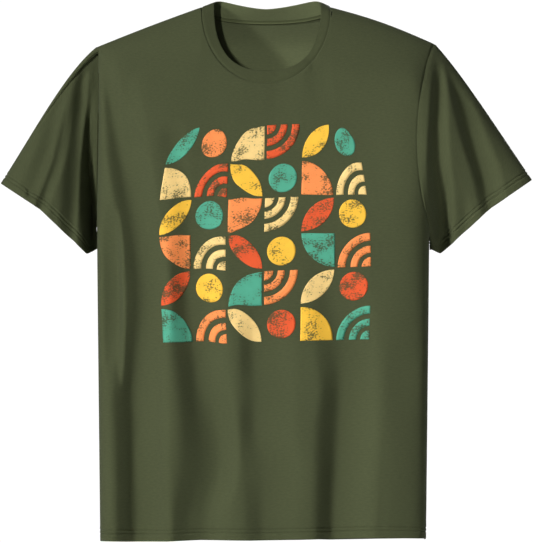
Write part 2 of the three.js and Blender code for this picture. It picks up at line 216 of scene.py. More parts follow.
SLEEVE_FLATNESS = 0.65  # 1 makes the cuff's ring an ellipse, less flattens its front and back
HEM_HEIGHT = 0.022

# %% [markdown]
# A panel is ruled by rows and columns, and both may be fractions, so the same rules give a coarse
# net or a fine one. Row 0 is the bottom edge, row 1 the top of the hem, row 13 the armpit and row 24
# the neck and shoulders. Columns run from the wearer's right to the left: 9 along a shoulder, 22
# round the neck and 9 along the other shoulder.

# %% Rules of a panel
SHOULDER_COLUMNS = 9
NECK_COLUMNS = 22
COLUMNS = 2 * SHOULDER_COLUMNS + NECK_COLUMNS
ARMPIT_ROW = 13
ROWS = 24
SLEEVE_ROWS = 6
LIFT_START = 0.3  # the top edge's shape is felt from this share of the rows up


def smooth(value):
    clamped = np.clip(value, 0, 1)
    return clamped * clamped * (3 - 2 * clamped)


def along_table(table, place):
    index = np.clip(np.searchsorted(table[:, 0], place) - 1, 0, len(table) - 2)
    start = table[index]
    end = table[index + 1]
    share = np.clip((place - start[..., 0]) / (end[..., 0] - start[..., 0]), 0, 1)
    return start[..., 1] + (end[..., 1] - start[..., 1]) * (0.5 * share + 0.5 * smooth(share))


def body_half(drop):
    return CHEST_HALF + (HEM_HALF - CHEST_HALF) * (drop / BODY_LENGTH)


def body_middle(drop):
    return -BODY_SHIFT * smooth((drop - BODY_SHIFT_START) / (ARMPIT_DROP - BODY_SHIFT_START))


def shoulder_line(across):
    out = np.maximum(np.abs(across) - NECK_HALF, 0) / (SHOULDER_HALF - NECK_HALF)
    drop = np.where(across < 0, RIGHT_SLEEVE["shoulder_drop"], LEFT_SLEEVE["shoulder_drop"])
    crown = np.where(across < 0, RIGHT_SLEEVE["shoulder_crown"], LEFT_SLEEVE["shoulder_crown"])
    return drop * out - crown * np.sin(np.pi * np.minimum(out, 1))


def armhole_place(sleeve, share):
    rest = 1 - share
    weights = [rest**3, 3 * rest * rest * share, 3 * rest * share * share, share**3]
    across = [body_half(ARMPIT_DROP), sleeve["handle_low"], sleeve["handle_high"], SHOULDER_HALF]
    drops = [ARMPIT_DROP, HANDLE_LOW_DROP, HANDLE_HIGH_DROP, sleeve["shoulder_drop"]]
    drop = sum(weight * value for weight, value in zip(weights, drops))
    out = sum(weight * value for weight, value in zip(weights, across))
    return sleeve["side"] * out + body_middle(drop), drop


def side_place(sleeve, rows):
    """Across and drop of a panel's side edge at each row."""
    above = np.clip((rows - ARMPIT_ROW) / (ROWS - ARMPIT_ROW), 0, 1)
    hole_across, hole_drop = armhole_place(sleeve, above)
    drops = [BODY_LENGTH, BODY_LENGTH - HEM_HEIGHT, ARMPIT_DROP]
    drop = np.interp(rows, [0, 1, ARMPIT_ROW], drops)
    across = sleeve["side"] * body_half(drop) + body_middle(drop)
    below = rows < ARMPIT_ROW
    return np.where(below, across, hole_across), np.where(below, drop, hole_drop)


def top_place(facing, columns):
    """Across and drop of a panel's top edge at each column."""
    from_side = np.minimum(columns, COLUMNS - columns)
    side = np.where(columns < COLUMNS / 2, -1, 1)
    share = np.clip(from_side / SHOULDER_COLUMNS, 0, 1)
    shoulder = side * (SHOULDER_HALF + (NECK_HALF - SHOULDER_HALF) * share)
    angle = np.clip(np.pi * (columns - SHOULDER_COLUMNS) / NECK_COLUMNS, 0, np.pi)
    neck_drop = FRONT_NECK_DROP if facing < 0 else BACK_NECK_DROP
    power = 2 / NECK_ROUNDING
    neck = -np.sign(np.cos(angle)) * NECK_HALF * np.abs(np.cos(angle)) ** power
    on_neck = from_side > SHOULDER_COLUMNS
    across = np.where(on_neck, neck, shoulder)
    drop = np.where(on_neck, neck_drop * np.sin(angle) ** power, shoulder_line(shoulder))
    return across, drop


def row_half(rows):
    drop = side_place(RIGHT_SLEEVE, rows)[1]
    above = np.maximum((rows - ARMPIT_ROW) / (ROWS - ARMPIT_ROW), 0)
    at_armpit = body_half(np.maximum(drop, ARMPIT_DROP))
    return at_armpit + (SHOULDER_HALF - at_armpit) * above


def panel_places(facing, rows, columns):
    """Across and drop of every crossing of the rows and columns."""
    rows = np.asarray(rows, float)[:, None]
    columns = np.asarray(columns, float)[None, :]
    right_edge, right_drop = side_place(RIGHT_SLEEVE, rows)
    left_edge, left_drop = side_place(LEFT_SLEEVE, rows)
    turn = -np.cos(np.pi * columns / COLUMNS)
    to_left = (turn + 1) / 2
    top_across, top_drop = top_place(facing, columns)
    half = row_half(rows)
    middle = body_middle(right_drop)
    lift = smooth((rows / ROWS - LIFT_START) / (1 - LIFT_START))
    inward = np.where(turn < 0, right_edge - middle + half, left_edge - middle - half)
    level = middle + turn * half + inward * turn**6
    across = level + lift * (top_across - turn * SHOULDER_HALF)
    tip = RIGHT_SLEEVE["shoulder_drop"] * (1 - to_left) + LEFT_SLEEVE["shoulder_drop"] * to_left
    drop = right_drop * (1 - to_left) + left_drop * to_left + lift * (top_drop - tip)
    return across, drop


# %% [markdown]
# ## The folds
# Cloth that hangs from the shoulders falls into long folds. From the front each one reads as a dark
# band with a crisp right edge: the cloth drops into the fold over a short steep wall that faces away
# from the lamp, and climbs out of it slowly. So a fold is drawn as the line of its valley, in pixels
# of the photo. Each point of that line has the widths of the steep wall, of the rounded bottom and
# of the long side, also in pixels, and a depth in millimetres.

# %% Folds
LINE_STEPS = 48
WALL_BEND = 0.5  # a steep wall bends over for this share of its width, then runs straight
RISE_PEAK = 0.7  # the long side is at its steepest this share of the way up
NARROWEST = 0.002  # of a wall, a bottom or a long side
FOLD_FADE = 0.35  # folds fade out towards a side seam, below this share of the panel's depth


def wall_share(place, steep, bottom):
    """The share of a fold's depth reached at this distance from the top of its steep wall."""
    bend = WALL_BEND * steep
    whole = steep - bend / 2 + bottom / 2
    rounded = place**2 / (2 * bend)
    straight = place - bend / 2
    level = whole - (steep + bottom - place) ** 2 / (2 * bottom)
    return np.where(place < bend, rounded, np.where(place < steep, straight, level)) / whole


def rise_share(away):
    """The share of a fold's depth that is left, this share of the way up its long side."""
    low = 1 - away**2 / RISE_PEAK
    high = (1 - away) ** 2 / (1 - RISE_PEAK)
    return np.where(away < RISE_PEAK, low, high)


def fold_line(points):
    """The fold's points in metres, resampled along a smooth line."""
    rows = np.array(points, float)
    rows[:, 0] = (rows[:, 0] - CENTRE_COLUMN) * PIXEL
    rows[:, 1] = (rows[:, 1] - NECK_ROW) * PIXEL
    rows[:, 2:5] *= PIXEL
    rows[:, 5] /= 1000
    ends = np.vstack([2 * rows[0] - rows[1], rows, 2 * rows[-1] - rows[-2]])
    shares = np.linspace(0, len(rows) - 1 - 1e-9, LINE_STEPS)
    index = shares.astype(int)
    t = (shares - index)[:, None]
    a, b, c, d = ends[index], ends[index + 1], ends[index + 2], ends[index + 3]
    bend = (2 * a - 5 * b + 4 * c - d) * t**2 + (3 * b - a - 3 * c + d) * t**3
    curve = b + ((c - a) * t + bend) / 2
    curve[:, 2:5] = np.maximum(curve[:, 2:5], NARROWEST)
    return curve


def fold_depth(folds, across, drop):
    """How deep the folds are. A fold is steep on the photo's left of its valley, long on the right."""
    shape = across.shape
    places = np.stack([across.ravel(), drop.ravel()], axis=1)
    total = np.zeros(len(places))
    for points in folds:
        line = fold_line(points)
        nearest = np.full(len(places), np.inf)
        rise = np.zeros(len(places))
        for first, second in zip(line[:-1], line[1:]):
            step = second[:2] - first[:2]
            share = np.clip(((places - first[:2]) @ step) / (step @ step), 0, 1)
            offset = places - first[:2] - share[:, None] * step
            distance = np.hypot(offset[:, 0], offset[:, 1])
            left = step[0] * offset[:, 1] - step[1] * offset[:, 0] > 0
            facts = first[2:] + share[:, None] * (second[2:] - first[2:])
            steep, bottom, slow, depth = facts.T
            from_top = np.where(left, -distance, distance) + steep
            on_wall = from_top < steep + bottom
            wall = wall_share(np.clip(from_top, 0, steep + bottom), steep, bottom)
            away = np.clip((distance - bottom) / slow, 0, 1)
            better = distance < nearest
            nearest = np.where(better, distance, nearest)
            rise = np.where(better, depth * np.where(on_wall, wall, rise_share(away)), rise)
        total += rise
    return total.reshape(shape)


# column, row, widths of the steep wall, the rounded bottom and the long side, depth. A fold of
# negative depth is a swell.
FRONT_FOLDS = [
    [(101, 48, 6, 4, 10, 0), (103, 75, 6, 4, 12, 6), (107, 104, 6, 6, 16, 13),
     (111, 128, 11, 7, 22, 17), (115, 150, 14, 7, 28, 20), (124, 200, 14, 10, 26, 19),
     (132, 250, 14, 10, 26, 17), (136, 300, 15, 10, 28, 17), (132, 350, 16, 9, 30, 20),
     (129, 390, 25, 8, 34, 30), (130, 430, 25, 8, 34, 33), (131, 470, 24, 6, 34, 31),
     (131, 510, 23, 8, 34, 31), (131, 545, 23, 8, 34, 31)],
    [(166, 120, 10, 6, 14, 0), (168, 150, 14, 6, 16, 4), (172, 180, 14, 6, 16, 2),
     (176, 220, 14, 6, 16, 0)],
    [(184, 130, 20, 8, 40, 0), (184, 220, 18, 8, 40, 8), (182, 300, 18, 8, 40, 17),
     (188, 350, 20, 10, 34, 19), (192, 390, 19, 10, 34, 20), (194, 430, 19, 20, 26, 22),
     (196, 470, 24, 20, 24, 21), (186, 510, 18, 12, 32, 16), (186, 545, 18, 12, 32, 16)],
    [(205, 300, 16, 8, 26, 0), (210, 470, 16, 10, 24, 2), (204, 510, 12, 10, 26, 5),
     (204, 545, 12, 10, 26, 5)],
    [(250, 300, 14, 8, 36, 0), (248, 350, 12, 8, 44, 10), (251, 390, 15, 8, 44, 8),
     (250, 430, 16, 7, 44, 11), (255, 470, 20, 14, 40, 8), (257, 510, 15, 8, 40, 9),
     (258, 545, 15, 8, 40, 9)],
    [(318, 250, 20, 10, 40, 0), (324, 300, 20, 10, 44, 8), (330, 350, 20, 14, 40, 13),
     (334, 390, 18, 8, 42, 17), (332, 430, 21, 8, 44, 21), (331, 470, 20, 6, 44, 23),
     (329, 510, 19, 6, 44, 23), (329, 545, 19, 6, 44, 23)],
    [(402, 280, 18, 8, 18, 0), (400, 350, 16, 9, 20, 4), (398, 390, 16, 9, 20, 4),
     (404, 440, 18, 9, 18, 4), (404, 545, 18, 9, 18, 3)],
    [(105, 205, 6, 5, 9, 0), (105, 240, 8, 10, 8, 14), (106, 300, 9, 12, 7, 19),
     (107, 350, 9, 10, 8, 15), (110, 390, 10, 6, 8, 0)],
    [(121, 76, 6, 3, 12, 0), (124, 96, 6, 3, 14, 3.2), (129, 125, 7, 4, 16, 3.2),
     (134, 155, 8, 5, 18, 0)],
    [(271, 84, 8, 6, 16, 1.0), (270, 100, 10, 6, 18, 1.0), (270, 130, 10, 6, 20, 0)],
    [(311, 74, 10, 6, 18, 1.8), (313, 94, 12, 6, 18, 1.6), (317, 120, 12, 6, 20, 0)],
    [(400, 50, 50, 4, 20, 0), (416, 110, 60, 4, 12, -8), (423, 200, 70, 4, 9, -11),
     (423, 320, 60, 4, 9, -11), (423, 430, 46, 4, 9, -9), (423, 545, 40, 4, 9, -8)],
]
BACK_FOLDS = [
    [(412, 90, 15, 6, 24, 0), (400, 200, 18, 8, 36, 8), (394, 330, 19, 9, 40, 12),
     (392, 545, 20, 9, 46, 14)],
    [(306, 300, 16, 6, 30, 0), (304, 400, 19, 8, 36, 6), (300, 545, 20, 9, 40, 9)],
    [(214, 260, 16, 6, 30, 0), (208, 380, 19, 9, 38, 7), (202, 545, 20, 9, 42, 11)],
    [(128, 110, 12, 5, 18, 0), (132, 220, 15, 6, 24, 6), (134, 545, 17, 8, 30, 8)],
    [(356, 340, 12, 6, 24, 0), (352, 420, 13, 6, 26, 3), (350, 545, 14, 6, 26, 4)],
]
# The bottom edge isn't level: column of the photo, and how far it hangs below its mean in mm.
FRONT_HEM_SAG = np.array([
    (96, 2.0), (130, 2.6), (167, 2.2), (200, 0.2), (250, 1.0), (300, -0.2), (332, -1.4),
    (380, -2.8), (425, -1.8),
])
BACK_HEM_SAG = np.array([(96, -0.5), (180, 1.5), (250, -1.0), (330, 1.5), (425, -1.0)])
HEM_SAG_REACH = 0.12  # the sag fades out this far above the edge


# %% Points of the body
def panel_net(facing, rows, columns):
    across, drop = panel_places(facing, rows, columns)
    depths = FRONT_DEPTHS if facing < 0 else BACK_DEPTHS
    folds = FRONT_FOLDS if facing < 0 else BACK_FOLDS
    share = np.minimum(np.abs(across - body_middle(drop)) / body_half(drop), 1)
    section = (1 - share**SIDE_ROUNDING) ** (1 / SIDE_ROUNDING)
    below = np.clip((drop - shoulder_line(across)) / SHOULDER_ROLL, 0, 1)
    roll = np.sqrt(np.maximum(1 - (1 - below) ** 2, 0))
    depth = along_table(depths, drop) * section * roll
    fade = smooth(section / FOLD_FADE)
    fold = fold_depth(folds, across, drop) * fade * roll
    sag = FRONT_HEM_SAG if facing < 0 else BACK_HEM_SAG
    columns_of_photo = across / PIXEL + CENTRE_COLUMN
    low = smooth((drop - BODY_LENGTH + HEM_SAG_REACH) / HEM_SAG_REACH)
    lower = np.interp(columns_of_photo, sag[:, 0], sag[:, 1] / 1000) * low * fade
    return np.stack([across, facing * (depth - fold), -drop - lower], axis=-1)


# %% [markdown]
# ## The sleeves
# A sleeve is a tube from the closed seam of the armhole to the ring of the cuff. Each line of the
# tube leaves the armhole outwards and arrives at the cuff along the arm. Its folds are drawn on the
# photo as the body's are, and the back of the sleeve has a few of its own.

# %% Points of the sleeves
RIGHT_SLEEVE_FOLDS = [
    [(84, 66, 5, 3, 5, 0), (80, 80, 7, 3, 6, 6), (77, 104, 8, 4, 7, 8), (73, 130, 8, 4, 8, 6),
     (70, 160, 9, 4, 8, 5), (68, 200, 9, 4, 8, 6), (66, 245, 9, 4, 8, 6)],
    [(90, 84, 6, 3, 4, 0), (90, 104, 8, 3, 4, 8), (91, 120, 9, 3, 4, 13), (91, 150, 10, 3, 5, 17),
     (91, 190, 11, 3, 5, 18), (92, 245, 11, 3, 5, 17)],
    [(66, 100, 4, 2, 8, 0), (60, 133, 4, 3, 9, 4), (54, 162, 4, 3, 9, 5), (45, 187, 4, 3, 9, 6),
     (38, 208, 4, 3, 9, 7)],
    [(60, 84, 9, 4, 8, 0), (52, 112, 11, 4, 9, 5), (43, 150, 12, 4, 10, 6), (30, 186, 12, 4, 10, 5)],
    [(97, 48, 3, 2, 3, 2), (98, 70, 3, 2, 3, 3), (99, 84, 3, 2, 3, 0)],
]
LEFT_SLEEVE_FOLDS = [
    [(443, 52, 4, 2, 8, 0), (448, 68, 5, 2, 14, 5), (454, 92, 6, 2, 18, 9),
     (461, 120, 7, 2, 20, 12), (470, 150, 8, 2, 22, 13), (478, 175, 8, 3, 22, 13),
     (484, 200, 9, 4, 20, 12), (488, 216, 9, 4, 18, 11)],
    [(434, 46, 4, 2, 6, 2), (434, 70, 5, 3, 9, 8), (433, 100, 5, 4, 12, 11),
     (432, 130, 6, 4, 14, 12), (432, 165, 7, 4, 16, 14), (434, 190, 8, 5, 16, 16),
     (437, 215, 9, 4, 14, 18), (437, 256, 9, 4, 14, 18)],
    [(462, 190, 6, 3, 6, 0), (462, 220, 6, 3, 8, 2.4), (464, 245, 7, 3, 8, 2.4)],
]
SLEEVE_BACK_FOLDS = [
    [(88, 90, 9, 4, 7, 0), (84, 140, 10, 4, 9, 5), (76, 200, 10, 4, 10, 6),
     (70, 246, 10, 4, 10, 6)],
    [(60, 110, 9, 4, 10, 0), (50, 160, 9, 4, 10, 3), (38, 206, 9, 4, 10, 3)],
    [(452, 90, 10, 4, 5, 0), (458, 150, 12, 4, 7, 5), (468, 200, 12, 4, 7, 6),
     (474, 240, 12, 4, 7, 6)],
    [(484, 120, 12, 4, 5, 0), (496, 170, 12, 4, 5, 3), (506, 204, 12, 4, 5, 3)],
]
# How low a line of the tube starts is 1 at the armpit and 0 at the shoulder.
DROOP_START = 0.4  # lines that start lower than this droop at the cuff
DROOP_REACH = 0.55
DROOP_END = 0.06  # and the very lowest don't
FOLD_START = 1.2  # rows from the armhole in which the folds begin
FOLD_TURN = 0.45  # folds fade out towards the sleeve's upper and lower edge


def armhole_loop(sleeve, rows):
    """Up the front edge from the armpit and down the back edge, with the angle of each point."""
    column = [0 if sleeve["side"] < 0 else COLUMNS]
    up = panel_net(-1, rows, column)[:, 0]
    down = panel_net(1, rows[1:-1][::-1], column)[:, 0]
    share = (np.array(rows) - ARMPIT_ROW) / (ROWS - ARMPIT_ROW)
    angles = np.concatenate([share, 2 - share[1:-1][::-1]]) * np.pi
    return np.concatenate([up, down]), angles


def sleeve_net(sleeve, rows, loop_rows, folds):
    """The sleeve's net. Its rows run from 0 at the armhole past 6, the top of the hem, to 7."""
    loop, angles = armhole_loop(sleeve, loop_rows)
    side = sleeve["side"]
    outer = np.array([side * sleeve["cuff_outer"][0], 0, -sleeve["cuff_outer"][1]])
    inner = np.array([side * sleeve["cuff_inner"][0], 0, -sleeve["cuff_inner"][1]])
    centre = (outer + inner) / 2
    to_outer = outer - centre
    arm = np.array([-to_outer[2], 0, to_outer[0]]) / np.linalg.norm(to_outer)
    arm = arm * -np.sign(arm[2])
    low = ((1 + np.cos(angles)) / 2)[:, None]
    facing = (np.sign(np.sin(angles)) * np.abs(np.sin(angles)) ** SLEEVE_FLATNESS)[:, None]
    droop = np.clip((low - DROOP_START) / DROOP_REACH, 0, 1)
    droop = sleeve["cuff_droop"] * droop * smooth((1 - low) / DROOP_END)
    cuff = centre - to_outer * np.cos(angles)[:, None] + arm * droop
    cuff[:, 1:2] -= sleeve["cuff_half_depth"] * facing
    length = np.linalg.norm(cuff - loop, axis=1)[:, None]
    chord = (cuff - loop) / length
    slope = sleeve["shoulder_slope"] + (ARMPIT_SLOPE - sleeve["shoulder_slope"]) * low[:, 0]
    slope += UNDERARM_SLOPE * low[:, 0] ** 8
    leave = np.stack([np.full(len(loop), side), -SLEEVE_BULGE * facing[:, 0], -slope], axis=1)
    leave *= length * SLEEVE_FULLNESS / np.linalg.norm(leave, axis=1)[:, None]
    arrive = arm + (chord - arm) * low**3
    arrive *= length / np.linalg.norm(arrive, axis=1)[:, None]
    hem_share = 1 - HEM_HEIGHT / np.maximum(length, 2 * HEM_HEIGHT)
    rows = np.asarray(rows, float)[:, None, None]
    above = hem_share * rows / SLEEVE_ROWS
    t = np.where(rows <= SLEEVE_ROWS, above, hem_share + (1 - hem_share) * (rows - SLEEVE_ROWS))
    net = (
        loop * (2 * t**3 - 3 * t**2 + 1) + leave * (t**3 - 2 * t**2 + t)
        + cuff * (3 * t**2 - 2 * t**3) + arrive * (t**3 - t**2)
    )
    front_fold = fold_depth(folds, net[..., 0], -net[..., 2])
    back_fold = fold_depth(SLEEVE_BACK_FOLDS, net[..., 0], -net[..., 2])
    fold = np.where(np.sin(angles) > 0, front_fold, back_fold)
    fold *= smooth(rows[..., 0] / FOLD_START) * smooth(np.abs(np.sin(angles)) / FOLD_TURN)
    net[..., 1] += np.where(np.sin(angles) > 0, 1, -1) * fold
    return net


# %% [markdown]
# ## Fine nets
# The cloth that shows is ruled finely: 3 to 5 mm to a square, and closer at the seams, which dip, and
# in the hems, which pucker.

# %% Rows and columns
def steps(start, end, count):
    return list(np.linspace(start, end, count + 1)[:-1])


FINE = 1.0
HEM_STEPS = 24
SEAM_STEPS = [0, 0.07, 0.16, 0.28]  # extra lines close to a seam, in columns or rows of a panel
HALF_STEPS = round(84 * FINE)  # columns in half a panel
BODY_STEPS = round(132 * FINE)  # rows from the hem to the armpit
ARMHOLE_STEPS = round(76 * FINE)  # rows from the armpit to the shoulder
TUBE_STEPS = round(46 * FINE)  # rows along a sleeve
TUBE_SEAM_STEPS = [0, 0.06, 0.14, 0.26]


def fine_columns():
    inner = steps(0.45, COLUMNS / 2, HALF_STEPS)
    right = SEAM_STEPS + inner
    return np.array(right + [COLUMNS / 2] + [COLUMNS - value for value in right[::-1]])


def fine_rows():
    hem = steps(0, 1, HEM_STEPS)
    body = steps(1, ARMPIT_ROW, BODY_STEPS)
    top = [ROWS - step for step in SEAM_STEPS[::-1]]
    hole = steps(ARMPIT_ROW, top[0], ARMHOLE_STEPS)
    return np.array(hem + body + hole + top)


PANEL_COLUMNS = fine_columns()
PANEL_ROWS = fine_rows()
LOOP_ROWS = PANEL_ROWS[PANEL_ROWS >= ARMPIT_ROW]
tube_body = steps(0.42, SLEEVE_ROWS, TUBE_STEPS)
tube_hem = steps(SLEEVE_ROWS, SLEEVE_ROWS + 1, HEM_STEPS)
TUBE_ROWS = np.array(TUBE_SEAM_STEPS + tube_body + tube_hem + [SLEEVE_ROWS + 1])
NECK_COLUMNS_FINE = PANEL_COLUMNS[
    (PANEL_COLUMNS >= SHOULDER_COLUMNS - 1e-6)
    & (PANEL_COLUMNS <= COLUMNS - SHOULDER_COLUMNS + 1e-6)
]

front_net = panel_net(-1, PANEL_ROWS, PANEL_COLUMNS)
back_net = panel_net(1, PANEL_ROWS, PANEL_COLUMNS)
right_net = sleeve_net(RIGHT_SLEEVE, TUBE_ROWS, LOOP_ROWS, RIGHT_SLEEVE_FOLDS)
left_net = sleeve_net(LEFT_SLEEVE, TUBE_ROWS, LOOP_ROWS, LEFT_SLEEVE_FOLDS)
print("front", front_net.shape, "sleeve", right_net.shape)


# %% Directions out of a net
def with_neighbours(net, closed):
    """The net with one more column at each end. A closed net wraps round."""
    if closed:
        return np.concatenate([net[:, -1:], net, net[:, :1]], axis=1)
    first = 2 * net[:, :1] - net[:, 1:2]
    last = 2 * net[:, -1:] - net[:, -2:-1]
    return np.concatenate([first, net, last], axis=1)


def outward(net, closed, turned):
    """Unit directions out of the cloth at each point of a net."""
    wide = with_neighbours(net, closed)
    along = wide[:, 2:] - wide[:, :-2]
    up = np.gradient(net, axis=0)
    normal = np.cross(along, up)
    length = np.linalg.norm(normal, axis=2, keepdims=True)
    normal = normal / np.maximum(length, 1e-12)
    return -normal if turned else normal


def distance_along(net, axis):
    """How far each point is from the start of its line, along the cloth."""
    lengths = np.linalg.norm(np.diff(net, axis=axis), axis=2)
    start = np.zeros_like(net[:, :1, 0] if axis == 1 else net[:1, :, 0])
    return np.concatenate([start, np.cumsum(lengths, axis=axis)], axis=axis)


def from_end(distance, axis):
    last = distance[:, -1:] if axis == 1 else distance[-1:]
    return last - distance


# %% [markdown]
# ## Making a piece of cloth
# Each piece starts as a flat grid, which is then laid on its net. The grid keeps a map of where each
# point was on the flat cloth, in metres, so that the knit and the print follow the cloth through its
# folds.

# %% Cloth from a net
def flat_map(net, closed):
    """Where each point of a net lies on the flat cloth: along the row from the middle, and up."""
    if closed:
        net = np.concatenate([net, net[:, :1]], axis=1)
    along = distance_along(net, 1)
    middle = net.shape[1] // 2
    along = along - along[:, middle : middle + 1]
    return np.stack([along, distance_along(net, 0)], axis=2)


def cloth_from_net(name, net, closed, flip, flat=None):
    """A grid laid on a net of points. A closed net is a tube, whose last column is its first."""
    if flat is None:
        flat = flat_map(net, closed)
    if closed:
        net = np.concatenate([net, net[:, :1]], axis=1)
    rows, columns = net.shape[:2]
    deselect_all()
    bpy.ops.mesh.primitive_grid_add(x_subdivisions=columns - 1, y_subdivisions=rows - 1, size=1)
    piece = bpy.context.object
    piece.name = name
    piece.data.name = name
    mesh = piece.data
    mesh.vertices.foreach_set("co", net.reshape(-1))
    corners = np.zeros(len(mesh.loops), dtype=np.int32)
    mesh.loops.foreach_get("vertex_index", corners)
    mesh.uv_layers[0].name = "cut"
    mesh.uv_layers[0].uv.foreach_set("vector", flat.reshape(-1, 2)[corners].ravel())
    bpy.ops.object.mode_set(mode="EDIT")
    bpy.ops.mesh.select_all(action="SELECT")
    if closed:
        bpy.ops.mesh.remove_doubles(threshold=1e-6)
    if flip:
        bpy.ops.mesh.flip_normals()
    bpy.ops.object.mode_set(mode="OBJECT")
    bpy.ops.object.shade_smooth()
    return piece


def thicken(piece, thickness):
    """Give the cloth its thickness, on the inside of its outer face."""
    deselect_all()
    piece.select_set(True)
    bpy.context.view_layer.objects.active = piece
    modifier = piece.modifiers.new("thickness", "SOLIDIFY")
    modifier.thickness = thickness
    modifier.offset = -1
    modifier.use_rim = True
    bpy.ops.object.modifier_apply(modifier="thickness")


# %% [markdown]
# ## Seams and hems
# A seam pulls the cloth in a little, so each panel dips along its sewn edges. At a hem the cloth
# folds under and runs back up inside, and the two rows of stitches that hold it sink in.

# %% Seams and hems
SEAM_DIP = 0.0011
SEAM_REACH = 0.0032
SLEEVE_TUCK = 0.0045
STITCH_HEIGHTS = (0.0092, 0.0142)
STITCH_DIP = 0.0011
STITCH_REACH = 0.0019
JERSEY = 0.0007  # thickness of the cloth
HEM_GAP = 0.0018
PUCKER = 0.0003
PUCKER_LENGTH = 0.021
PUCKER_DRIFT = 0.13  # the length over which the puckers move closer and further apart
PUCKER_HEIGHT = 0.013  # they are strongest here, and end at the edge and this far above
BEND_ANGLES = (30, 60, 90, 120, 150)  # of the lines round a folded edge
PANEL_SEAMS = ("sides", "top")


def dip(distance, depth, reach):
    return depth * (1 - smooth(distance / reach))


def tucked(net, side):
    """A sleeve's net with its first lines drawn into the body, as a seam's allowance is."""
    net = net.copy()
    net[..., 0] -= side * dip(distance_along(net, 0), SLEEVE_TUCK, SEAM_REACH)
    return net


def seam_dip(net, closed, sewn):
    """How far each point sinks for the seams beside it. sewn names the sewn edges."""
    total = np.zeros(net.shape[:2])
    if "sides" in sewn:
        along = distance_along(net, 1)
        total = np.maximum(total, dip(along, SEAM_DIP, SEAM_REACH))
        total = np.maximum(total, dip(from_end(along, 1), SEAM_DIP, SEAM_REACH))
    up = distance_along(net, 0)
    if "top" in sewn:
        total = np.maximum(total, dip(from_end(up, 0), SEAM_DIP, SEAM_REACH))
    if "start" in sewn:
        total = np.maximum(total, dip(up, SEAM_DIP, SEAM_REACH))
    return total


def hem_relief(height, along):
    """Stitch rows sink in, and the cloth between them and the edge puckers."""
    rows = sum(dip(np.abs(height - place), STITCH_DIP, STITCH_REACH) for place in STITCH_HEIGHTS)
    drift = 2 * np.sin(along * 2 * np.pi / PUCKER_DRIFT)
    wave = np.sin(along * 2 * np.pi / PUCKER_LENGTH + drift)
    pucker = PUCKER * wave * smooth(1 - np.abs(height - PUCKER_HEIGHT) / PUCKER_HEIGHT)
    return rows + pucker


def with_hem(net, closed, turned, at_start):
    """The net with its hem folded under: rows inside, round the edge and on up the outside."""
    if not at_start:
        net = net[::-1]
    out = outward(net, closed, turned if at_start else not turned)
    relief = hem_relief(distance_along(net, 0), distance_along(net, 1))
    net = net - out * relief[..., None]
    down = net[0] - net[1]
    down = down / np.linalg.norm(down, axis=1, keepdims=True)
    inside = (net - out * HEM_GAP)[HEM_STEPS - 1 : 0 : -1]
    bend = []
    for angle in BEND_ANGLES[::-1]:
        turn = math.radians(angle)
        sink = HEM_GAP / 2 * (1 - math.cos(turn))
        drop = HEM_GAP / 2 * math.sin(turn)
        bend.append(net[0] - out[0] * sink + down * drop)
    full = np.concatenate([inside, np.array(bend), net])
    return full if at_start else full[::-1]


def with_seams(net, turned):
    """A panel's net with its seams sunk."""
    return net - outward(net, False, turned) * seam_dip(net, False, PANEL_SEAMS)[..., None]


# %% Panels and sleeves
front_cloth = with_seams(front_net, False)
back_cloth = with_seams(back_net, True)
front = cloth_from_net("shirt_front", with_hem(front_cloth, False, False, True), False, False)
back = cloth_from_net("shirt_back", with_hem(back_cloth, False, True, True), False, True)
right_sleeve = cloth_from_net(
    "sleeve_right", with_hem(tucked(right_net, -1), True, False, False), True, False
)
left_sleeve = cloth_from_net(
    "sleeve_left", with_hem(tucked(left_net, 1), True, True, False), True, True
)
for piece in (front, back, right_sleeve, left_sleeve):
    thicken(piece, JERSEY)
    print(piece.name, len(piece.data.polygons), "faces")

# %% [markdown]
# ## The collar and the neck tape
# The collar is a strip of rib folded double, so it has an outer face, a round fold along its free
# edge and an inner face. The tape covers the neck seam inside the back.

# %% Collar and tape
COLLAR_TOP_RIGHT = 0.0728  # from the middle to the free edge, on the wearer's right shoulder
COLLAR_TOP_LEFT = 0.0772
COLLAR_ROUNDING = 2.6
COLLAR_SIDE_TOP = 0.006
COLLAR_FRONT_TOP = -0.0898
COLLAR_BACK_TOP = -0.0032
COLLAR_BACK_PEAK = 0.0145  # how far the free edge would climb from the middle of the back
COLLAR_BACK_EASE = 0.0053  # how far it comes down again close to the shoulder
COLLAR_PEAK_POWER = 1.5
COLLAR_EASE_POWER = 12  # felt only close to the shoulder
COLLAR_SHARES = np.array([0, 0.04, 0.1, 0.2, 0.35, 0.5, 0.65, 0.8, 0.9, 0.96])
COLLAR_FRONT_LEAN = 0.006
COLLAR_BACK_LEAN = 0.011
COLLAR_FLAP = 0.0005  # the inner face runs on past the seam and covers it
RIB = 0.0019


